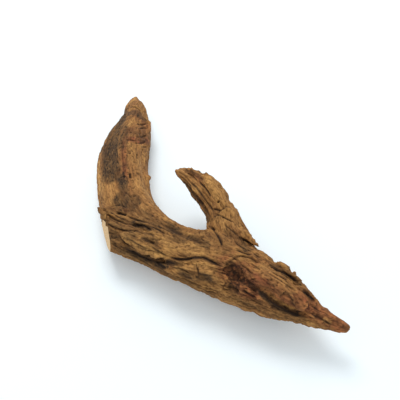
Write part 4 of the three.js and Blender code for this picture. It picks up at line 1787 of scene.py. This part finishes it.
    def pull_outline(self, wood: Object) -> None:
        """Pulls spots of the outline in or out.

        Args:
            wood: The refined wood.
        """
        skin = Surface(wood, self.view, self.limbs)
        carving = Carving(wood)
        points = carving.points.copy()
        for one in SHIFTS:
            start, _ = skin.seen(*one.start)
            move = self.view.level_with(start, *one.end) - start
            off = carving.points - start
            deep = off @ self.view.forward
            away = np.linalg.norm(off - deep[:, None] * self.view.forward, axis=1) + 0.25 * np.abs(deep)
            points += move * (1 - smooth_step(0.1, 1.0, away / one.reach))[:, None]
        points[:, 2] = np.clip(points[:, 2], 0.0, self.highest)
        carving.write(points)

    def carve(self, wood: Object) -> None:
        """Carves the marks and the grain, and notes the tones on the mesh.

        Args:
            wood: The refined wood.
        """
        carving = Carving(wood)
        grain = GrainField(carving.points, self.limbs)
        carver = Carver(carving, Surface(wood, self.view, self.limbs), grain)
        for stain in STAINS:
            carver.stain(stain)
        for mark in MARKS:
            carver.mark(mark)
        rough = self.relief.roughness(grain) * (1 - 0.85 * np.clip(carver.tones[Tone.SMOOTH], 0, 1))
        relief, split = self.relief.along_grain(grain, rough)
        pits, spot = self.relief.worm_pits(carving, rough)
        # The painted shade in the splits and pits joins that of the marks.
        carving.dark = np.maximum(carving.dark, np.maximum(split, spot))
        height = carving.move + carving.cut + relief + pits - relief.mean()
        out, near_cut = self.saw.past(carving.points, self.view.upward)
        sawn = (out < self.saw.near) & near_cut
        height *= np.where(sawn, smooth_step(*self.saw.fade, -out), 1.0)
        height *= self.relief.strength(grain, self.limbs)
        points = carving.points + carving.normals * height[:, None]
        points[:, 2] = np.maximum(points[:, 2], 0.0)
        past = self.saw.past(points, self.view.upward)[0]
        past = np.where(out > -self.saw.fade[0], past, np.maximum(past, 0.0)) * sawn
        points -= past[:, None] * self.saw.normal
        carving.write(points)
        self.note_tones(carving, carver, grain, height)

    def note_tones(self, carving: Carving, carver: Carver, grain: GrainField, height: Array) -> None:
        """Stores the tone, and the relief's painted shade and highlight, that the finishes read.

        Args:
            carving: The carved mesh.
            carver: It has the stains.
            grain: The grain.
            height: How far each point was moved.
        """
        mesh = carving.wood.data
        count = len(height)
        # hollow is painted shade in sunken places, and worn is a pale painted highlight, with some wear,
        # on raised ones.
        sunk = height - carving.blurred(height, 12)
        fine = height - carving.blurred(height, 3)
        hollow = np.clip(-0.55 * sunk - 0.8 * fine, 0, 1)
        worn = np.clip(0.4 * sunk + 0.8 * fine, 0, 1)
        drift = grain.pattern(29, 16.0, 60.0, 2)
        dark = carver.tones[Tone.DARK] + 0.22 * np.clip(drift, 0, 1)
        patch = grain.pattern(33, 6.0, 16.0, 2)
        dark += 0.3 * np.clip(patch - 0.1, 0, 1)
        red = carver.tones[Tone.RED] + 0.35 * np.clip(grain.pattern(31, 9.0, 40.0, 2), 0, 1)
        pale = carver.tones[Tone.PALE] + 0.25 * np.clip(-drift, 0, 1)
        pale += 0.45 * np.clip(-patch - 0.05, 0, 1)
        red = red * (1 - 0.5 * np.clip(carver.tones[Tone.PALE], 0, 1))
        for name, channels in (("tone", (dark, red, pale)), ("relief", (hollow, worn, carving.dark))):
            layer = mesh.attributes.new(name, "FLOAT_COLOR", "POINT")
            table = np.ones((count, 4), np.float32)
            for column, values in enumerate(channels):
                table[:, column] = np.clip(values, 0, 1.5)
            layer.data.foreach_set("color", table.ravel())

    def lay_grain(self, wood: Object) -> None:
        """Stores the grain coordinates that the finishes read.

        Args:
            wood: The wood at its final size of mesh.
        """
        mesh = wood.data
        corners = read_all(mesh.loops, "vertex_index", kind=np.int32)
        sides = read_all(mesh.polygons, "loop_total", kind=np.int32)
        grain = GrainField(Carving(wood).points, self.limbs)
        places = grain.coordinates(corners, np.repeat(np.arange(len(sides)), sides))
        layer = mesh.attributes.new("grain", "FLOAT_VECTOR", "CORNER")
        layer.data.foreach_set("vector", places.astype(np.float32).ravel())

    def finish_faces(self, wood: Object) -> None:
        """Gives the skin its two finishes, weathered all over and sawn for the cut.

        Args:
            wood: The carved wood.
        """
        mesh = wood.data
        mesh.materials.append(WeatheredWood().build())
        mesh.materials.append(SawnWood().build())
        mesh.shade_smooth()
        middles = read_all(mesh.polygons, "center", 3) * METRE
        out, near_cut = self.saw.past(middles, self.view.upward)
        facing = read_all(mesh.polygons, "normal", 3) @ self.saw.normal
        deselect(mesh)
        mesh.polygons.foreach_set("select", (np.abs(out) < self.saw.flat) & near_cut & (facing > 0.95))
        only(wood)
        with edit_mode("FACE"):
            wood.active_material_index = 1
            bpy.ops.object.material_slot_assign()
            bpy.ops.mesh.region_to_loop()
            bpy.ops.mesh.mark_sharp()

    def part(self, wood: Object, fork: Cut, name: str) -> Object:
        """Parts a limb from the wood and closes both cuts.

        Args:
            wood: The wood.
            fork: Where the limb parts.
            name: The limb's name.

        Returns:
            The limb.
        """
        only(wood)
        mesh = wood.data
        out, aside = self.places_by(mesh, fork)
        mesh.polygons.foreach_set("select", (np.abs(out) < fork.reach) & (aside < fork.reach))
        with edit_mode("FACE", "EDGE"):
            bpy.ops.mesh.bisect(plane_co=fork.place / METRE, plane_no=fork.normal, use_fill=False)
            bpy.ops.mesh.mark_seam()
            bpy.ops.mesh.select_all(action="DESELECT")
        out, aside = self.places_by(mesh, fork)
        mesh.polygons[int(np.argmax(np.where(aside < fork.reach, out, -np.inf)))].select = True
        with edit_mode("FACE"):
            bpy.ops.mesh.select_linked(delimit={"SEAM"})
            bpy.ops.mesh.separate(type="SELECTED")
        limb = next(one for one in bpy.context.selected_objects if one != wood)
        limb.name = name
        limb.data.name = name
        for one in (wood, limb):
            self.close(one)
        return limb

    def places_by(self, mesh: bpy.types.Mesh, fork: Cut) -> tuple[Array, Array]:
        """Where the faces lie by a fork; none is left selected.

        Args:
            mesh: The mesh.
            fork: Where the limb parts.

        Returns:
            How far out past the fork each face's middle is, and how far aside of the limb's line there.
        """
        deselect(mesh)
        off = read_all(mesh.polygons, "center", 3) * METRE - fork.place
        out = off @ fork.normal
        return out, np.linalg.norm(off - out[:, None] * fork.normal, axis=1)

    def close(self, wood: Object) -> None:
        """Closes a cut with one face, and keeps its rim crisp.

        Args:
            wood: The object with an open cut.
        """
        only(wood)
        with edit_mode("EDGE"):
            bpy.ops.mesh.select_all(action="DESELECT")
            bpy.ops.mesh.select_non_manifold(
                extend=False, use_wire=False, use_boundary=True, use_multi_face=False,
                use_non_contiguous=False, use_verts=False)
            bpy.ops.mesh.mark_sharp()
            bpy.ops.mesh.edge_face_add()
            bpy.ops.mesh.select_all(action="DESELECT")

    def build(self) -> list[Object]:
        """Builds the three dressed limbs.

        Returns:
            The trunk, the long arm and the short branch.
        """
        wood = self.raw_wood()
        skin = Surface(wood, self.view, self.limbs)
        self.fuse(wood, [self.add_splinter(wood, skin, one) for one in SPLINTERS])
        LOG.info("fused wood: %d faces", len(wood.data.polygons))
        # Twice as many faces each way.
        apply_modifier(wood, "SUBSURF", levels=1, render_levels=1)
        self.pull_outline(wood)
        self.carve(wood)
        # Fewer faces where the wood is flattest, to keep each piece within its budget.
        apply_modifier(wood, "DECIMATE", ratio=self.kept_share)
        self.lay_grain(wood)
        self.finish_faces(wood)
        arm = self.part(wood, self.arm_fork, "long_arm_wood")
        branch = self.part(wood, self.branch_fork, "short_branch_wood")
        wood.name = wood.data.name = "trunk_wood"
        pieces = [wood, arm, branch]
        for piece, node in zip(pieces, ("trunk", "long_arm", "short_branch")):
            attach(piece, "root")
            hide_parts(node)
            piece.data.calc_loop_triangles()
            LOG.info("%s: %d triangles", piece.name, len(piece.data.loop_triangles))
        return pieces


@dataclass(frozen=True)
class Studio:
    """The pale floor, the soft sky and the lights."""

    floor_half: float = 3.0
    floor_colour: Colour = srgb(235, 243, 246)
    floor_glow: float = 0.14
    sky_colour: Colour = (0.93, 0.97, 1.0, 1.0)
    sky_strength: float = 0.78
    key_watts: float = 10.5
    key_size: float = 0.7
    key_place: Place = (-0.25, 0.75, 1.25)

    def add_floor(self) -> None:
        """Adds the floor just under the wood."""
        bpy.ops.object.select_all(action="DESELECT")
        bpy.ops.mesh.primitive_plane_add(size=2 * self.floor_half, location=(0.0, 0.0, -0.0003))
        floor = bpy.context.object
        floor.name = "studio_floor"
        bench = NodeBench("studio_floor")
        bench.set(bench.shader, Base_Color=self.floor_colour, Roughness=0.9, Specular_IOR_Level=0.1,
                  Emission_Color=self.sky_colour, Emission_Strength=self.floor_glow)
        floor.data.materials.append(bench.material)

    def add_lights(self) -> None:
        """Adds the sky and the key light above the wood's far side."""
        world = bpy.data.worlds.new("studio_sky")
        world.use_nodes = True
        sky = world.node_tree.nodes["Background"]
        sky.inputs["Color"].default_value = self.sky_colour
        sky.inputs["Strength"].default_value = self.sky_strength
        bpy.context.scene.world = world
        data = bpy.data.lights.new("key_light", "AREA")
        data.energy = self.key_watts
        data.size = self.key_size
        key = bpy.data.objects.new("key_light", data)
        key.location = self.key_place
        key.rotation_euler = (-Vector(self.key_place)).to_track_quat("-Z", "Y").to_euler()
        bpy.context.scene.collection.objects.link(key)

    def set_look(self) -> None:
        """Shows colours as they are."""
        bpy.context.scene.view_settings.view_transform = "Standard"
        bpy.context.scene.view_settings.look = "None"


def main() -> None:
    """Builds the scene."""
    logging.basicConfig(level=logging.INFO, format="%(message)s")
    view = PictureView()
    view.add_camera()
    studio = Studio()
    studio.add_floor()
    studio.add_lights()
    studio.set_look()
    LOG.info("studio ready")
    for piece in Driftwood(view).build():
        LOG.info("finished %s", piece.name)
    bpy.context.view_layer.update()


if __name__ == "__main__":
    main()
